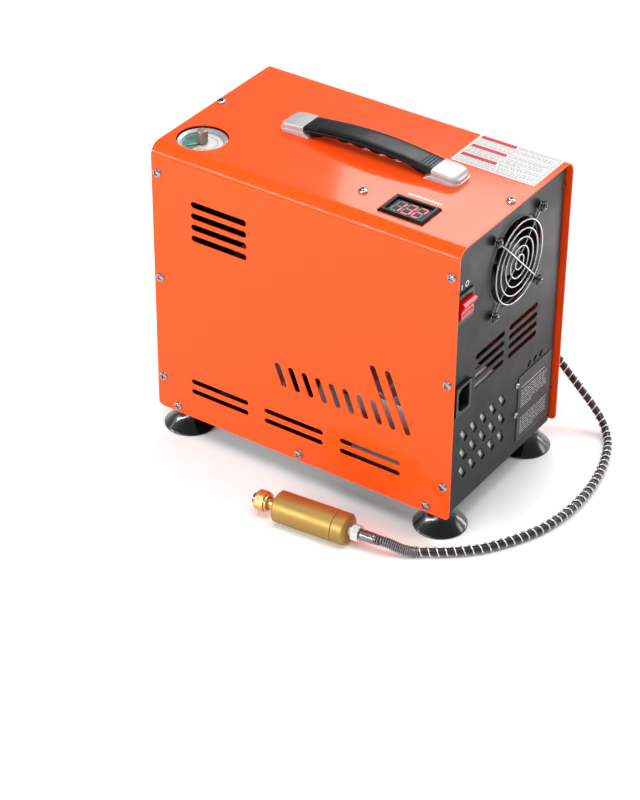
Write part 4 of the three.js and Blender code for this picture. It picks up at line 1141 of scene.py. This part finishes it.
def text_lines(dice, u0, u1, v_top, count, pitch, height, word=(1.2, 4.5), gap=0.7):
    """Rows of short dashes standing for small print; rows run down from v_top."""
    marks = []
    for line in range(count):
        v = v_top - pitch * line
        u = u0
        stop = u1 if line < count - 1 else u0 + (u1 - u0) * dice.uniform(0.4, 0.9)
        while u < stop - word[0]:
            length = min(dice.uniform(*word), stop - u)
            marks.append((u, u + length, v - height, v))
            u += length + gap
    return marks


def frame_lines(u0, u1, v0, v1, line):
    level_lines = [(u0, u1, v0, v0 + line), (u0, u1, v1 - line, v1)]
    return level_lines + [(u0, u0 + line, v0, v1), (u1 - line, u1, v0, v1)]


def add_label():
    dice = random.Random(5)
    top = HEIGHT + 0.4
    x0, x1, y0, y1 = 230.5, 315.0, 128.5, 183.5
    film = rounded(rectangle(x0, x1, y0, y1), 0.8, 3)
    piece("label_sheet", prism(film, HEIGHT + 0.1, top), PAPER, stands_for=["safety_label"], bevel=0.05)
    box_pitch, box_tall = 17.3, 15.2
    red, grey, black = [], [], []
    for k in range(3):
        low = y0 + 2.2 + box_pitch * k
        high = low + box_tall
        black += frame_lines(x0 + 2.5, x1 - 2.5, low, high, 0.35)
        red.append((x0 + 2.9, x0 + 38, high - 5.2, high - 0.5))
        grey += text_lines(dice, x0 + 40, x1 - 5, high - 1.5, 2, 2.1, 0.6, (2, 6), 0.9)
        grey += text_lines(dice, x0 + 4, x1 - 5, high - 6.6, 4, 2.2, 0.6, (2, 6), 0.9)
    for name, marks, material in (
            ("bars", red, PRINT_RED), ("borders", black, PRINT_BLACK), ("small_print", grey, PRINT_GREY)):
        piece(f"label_{name}", strips(marks, top + 0.01), material)


def add_plate():
    dice = random.Random(8)
    y0, y1, z0, z1 = 122.3, 180.5, 12.0, 83.0
    back, face = PANEL_X + 0.1, PANEL_X + 0.9
    plate = prism(rounded(rectangle(y0, y1, z0, z1), 1.2, 3), back, face, "x")
    piece("rating_plate_sheet", plate, PLATE_GREY, stands_for=["rating_plate"], bevel=0.15)
    marks = text_lines(dice, y0 + 5, y1 - 8, z1 - 17, 8, 2.5, 0.35, (2, 7), 1.1)
    marks += text_lines(dice, y0 + 5, y1 - 6, z0 + 24, 8, 2.4, 0.35, (2, 6), 1.0)
    marks.append((y0 + 5, y1 - 12, z1 - 13, z1 - 12.6))
    piece("rating_plate_print", strips(marks, face + 0.01, "x"), PRINT_WHITE)


def add_panel_marks():
    """The line and circle over the switch, and the row of dashes behind the meter."""
    sign = strips([(13.2, 14.4, 232.6, 237.6)], PANEL_X + 0.02, "x")
    disc = moved(sector(1.9, 2.9, 0, 360, 0, 32, PRINT_THICK), FACING["right"], (PANEL_X + 0.02, 22.2, 235.1))
    piece("switch_symbols", merged(sign, disc), PRINT_WHITE)
    dashes = text_lines(random.Random(3), 233, 310, 58.4, 1, 2, 2.2, (1.3, 2.2), 0.9)[:13]
    piece("meter_caption_marks", strips(dashes, HEIGHT + 0.02), PRINT_WHITE)


add_label()
add_plate()
add_panel_marks()


# ---------- fan ----------


def guard_lines():
    """Rings, corner eyes and two crossed struts of the wire guard."""
    rings = [circle(FAN_Y, FAN_Z, 7 + 8 * i, 72) for i in range(5)]
    lines = [([(PANEL_X + 3.6, y, z) for y, z in points], True) for points in rings]
    eye, gap, steps = 3.4, 0.25, 20
    sweep = FULL_TURN - 2 * gap
    for (a, b), (y, z) in zip(CORNERS, FAN_SCREWS):
        lead = math.atan2(-b, -a) + gap
        arms = [polar(eye, lead + sweep * k / steps) for k in range(steps + 1)]
        lines.append(([(PANEL_X + 2, y + u, z + v) for u, v in arms], False))
    reach = FAN_EYE - eye * math.sqrt(0.5)
    half = ((0.3, 1), (0.7, 1), (0.84, 0.75), (0.95, 0), (1, 0))
    bow = [(-t, rise) for t, rise in reversed(half)] + list(half)
    for lean, height in ((-1, 5.3), (1, 1.7)):
        lines.append(([
            (PANEL_X + 2 + (height - 2) * rise, FAN_Y + t * reach, FAN_Z + lean * t * reach)
            for t, rise in bow], False))
    return lines


def fan_blade(turned):
    """One twisted, cambered blade, at this angle round the hub."""
    rows = []
    for k in range(9):
        r = 16.2 + 20.9 * k / 8
        twist = math.radians(52 - 14 * k / 8)
        chord = 15.5 + 3 * k / 8
        row = []
        for j in range(9):
            t = j / 8 - 0.5
            along, rise = chord * t, 1.6 * (1 - 4 * t * t)
            w = 12.5 + along * math.sin(twist) + rise * math.cos(twist)
            lateral = along * math.cos(twist) - rise * math.sin(twist)
            row.append((w, *polar(r, turned + lateral / r)))
        rows.append(row)
    shell = loose_object(grid(rows, around=False, ends=False))
    modifier = shell.modifiers.new("thick", "SOLIDIFY")
    modifier.thickness = 1.2
    modifier.offset = 0
    return from_object(shell)


def add_fan():
    wires("fan_wire_guard", guard_lines(), 0.85, CHROME, stands_for=["fan_guard"])
    profile = [(2.3, 3.5), (17, 3.5), (17, 20.5), (14.8, 23), (0, 23), (0, 14), (2.3, 14)]
    hub = lathe(rounded(profile, [0, 0.5, 1.5, 1.5, 0, 0, 0]), 72, closed=True)
    ridge = lathe([(9.5, 23), (9.5, 23.4), (10.2, 23.4), (10.2, 23)], 72, closed=True)
    parts = [moved(merged(hub, ridge), FACING["right"])]
    parts += [fan_blade(FULL_TURN * i / 7) for i in range(7)]
    piece(
        "fan_wheel", merged(*parts), PLASTIC, body="fan", origin=(PANEL_X - 26.8, FAN_Y, FAN_Z),
        stands_for=["fan_rotor"], sharp=40)


add_fan()


# ---------- rocker switch and mains inlet ----------

SWITCH_Y, SWITCH_Z = 17.9, 214.7


def add_switch():
    rows = []
    for half_y, half_z, x in (
            (14, 14.5, 0.3), (14, 14.5, 1.3), (13.3, 13.8, 2.2), (10.8, 10.4, 2.2), (10.3, 9.8, 1.6),
            (10.3, 9.8, -19), (11.3, 11, -21), (11.3, 11, 0.3)):
        edge = rectangle(SWITCH_Y - half_y, SWITCH_Y + half_y, SWITCH_Z - half_z, SWITCH_Z + half_z)
        rows.append([(PANEL_X + x, u, v) for u, v in rounded(edge, 1.0, 3)])
    piece("switch_bezel", closed_loft(rows), PLASTIC, stands_for=["switch_housing"], bevel=0.2, sharp=28)
    saddle = [(-7, -6), (1, -9.2), (4, -7.4), (3.3, -4.6), (2.35, -1.6)]
    saddle += [(2.2, 0), *((u, -v) for u, v in reversed(saddle))]
    outline = rounded(saddle, [0.5, 0.8, 0.7, 0, 0, 0, 0, 0, 0.7, 0.8, 0.5], 3)
    key = grid([[(u, w, v) for u, v in outline] for w in (-9.95, -9.6, 9.6, 9.95)])
    ridge = ((0, -0.3), (0.28, 0), (0, 0.3), (-0.3, 0))
    ridges = [
        prism([(u + a, v + b) for a, b in ridge], -8.6, 8.6, "y")
        for u, v in ((3.55, -5.4), (3.25, -4.3), (2.95, -3.3), (2.7, -2.3))]
    piece(
        "switch_rocker", merged(key, *ridges), RED, body="switch", origin=(PANEL_X + 2.2, SWITCH_Y, SWITCH_Z),
        turn=Matrix.Rotation(math.radians(14), 3, "Y"), stands_for=["switch_key"], bevel=0.3, segments=3,
        sharp=28)


add_switch()


# ---------- CAD nodes that stay: softened edges and their own materials ----------

KEPT = [
    (PLASTIC, "inlet_housing fan_frame bleed_valve"),
    (CHROME, "inlet_pin_live inlet_pin_neutral inlet_pin_earth"),
    (IRON, "gauge_case"),
    (STEEL, "mount_plate motor_shaft crank_gear"),
    (MOTOR_PAINT, "motor_body"),
    (ALUMINIUM, "crankcase connecting_rod piston cylinder outlet_block"),
    (BRASS, "cylinder_head"),
    (ANODISED, "power_supply"),
    (COPPER, "delivery_pipe gauge_pipe")]


def keep_nodes():
    for material, names in KEPT:
        for name in names.split():
            obj = NODES[name]
            mesh = obj.data
            with bpy.context.temp_override(object=obj, active_object=obj, selected_objects=[obj]):
                bpy.ops.mesh.customdata_custom_splitnormals_clear()
            mesh.materials.clear()
            mesh.materials.append(material)
            for polygon in mesh.polygons:
                polygon.use_smooth = True
            obj.modifiers.new("weld", "WELD").merge_threshold = 1e-6
            softened(obj, 0.3 * MM, 32)


keep_nodes()


# ---------- floor and light ----------


def add_floor():
    mesh = bpy.data.meshes.new("floor")
    corners = [(u, v, 0) for u, v in rectangle(-6.0, 6.0, -6.0, 6.0)]
    mesh.from_pydata(corners, [], [(0, 1, 2, 3)])
    graph = Graph("studio_floor")
    graph.feed(graph.mix(graph.noise(3.0), tone("f4f4f4"), tone("f7f7f7")), graph.shader.inputs["Base Color"])
    graph.shader.inputs["Roughness"].default_value = 0.7
    graph.shader.inputs["Specular IOR Level"].default_value = 0.2
    mesh.materials.append(graph.material)
    linked("floor", mesh)


def softbox(name, spot, target, width, tall, power):
    light = bpy.data.lights.new(name, "AREA")
    light.shape = "RECTANGLE"
    light.size, light.size_y = width, tall
    light.energy = power
    obj = linked(name, light)
    obj.location = spot
    obj.rotation_mode = "QUATERNION"
    obj.rotation_quaternion = (Vector(target) - Vector(spot)).to_track_quat("-Z", "Y")
    obj.visible_camera = False


def add_light():
    """A pale surround, brighter near the ground, and the studio's area lights."""
    world = bpy.data.worlds.new("studio")
    bpy.context.scene.world = world
    world.use_nodes = True
    nodes, links = world.node_tree.nodes, world.node_tree.links
    where = nodes.new("ShaderNodeTexCoord")
    split = nodes.new("ShaderNodeSeparateXYZ")
    span = nodes.new("ShaderNodeMapRange")
    links.new(where.outputs["Generated"], split.inputs[0])
    links.new(split.outputs["Z"], span.inputs["Value"])
    for key, value in {"From Min": 0.05, "From Max": 0.7, "To Min": 0.7, "To Max": 0.22}.items():
        span.inputs[key].default_value = value
    links.new(span.outputs[0], nodes["Background"].inputs["Strength"])
    nodes["Background"].inputs["Color"].default_value = (1.0, 1.0, 1.0, 1.0)
    softbox("front_strip", (-0.8, -1.45, 0.66), (0.0, -0.1, 0.2), 1.6, 0.07, 21)
    softbox("front_low", (0.15, -1.3, 0.36), (0.05, -0.1, 0.15), 0.5, 0.3, 3)
    softbox("left_low", (-1.6, -1.1, 0.6), (0.0, 0.0, 0.15), 0.9, 0.5, 3)
    softbox("top_back", (-0.25, 1.08, 1.3), (0.1, -0.08, 0.3), 0.95, 0.6, 17)
    softbox("top_right", (0.75, 0.1, 1.75), (0.05, 0.0, 0.2), 0.9, 0.9, 8)
    softbox("back_right", (1.1, 1.1, 0.9), (0.15, 0.05, 0.1), 0.8, 0.8, 9)
    softbox("overhead", (0.1, -0.6, 1.7), (0.1, -0.55, 0.0), 0.8, 0.8, 13)
    softbox("end_glow", (0.33, 0.33, 0.045), (0.16, 0.08, 0.22), 0.16, 0.07, 0.2)


add_floor()
add_light()
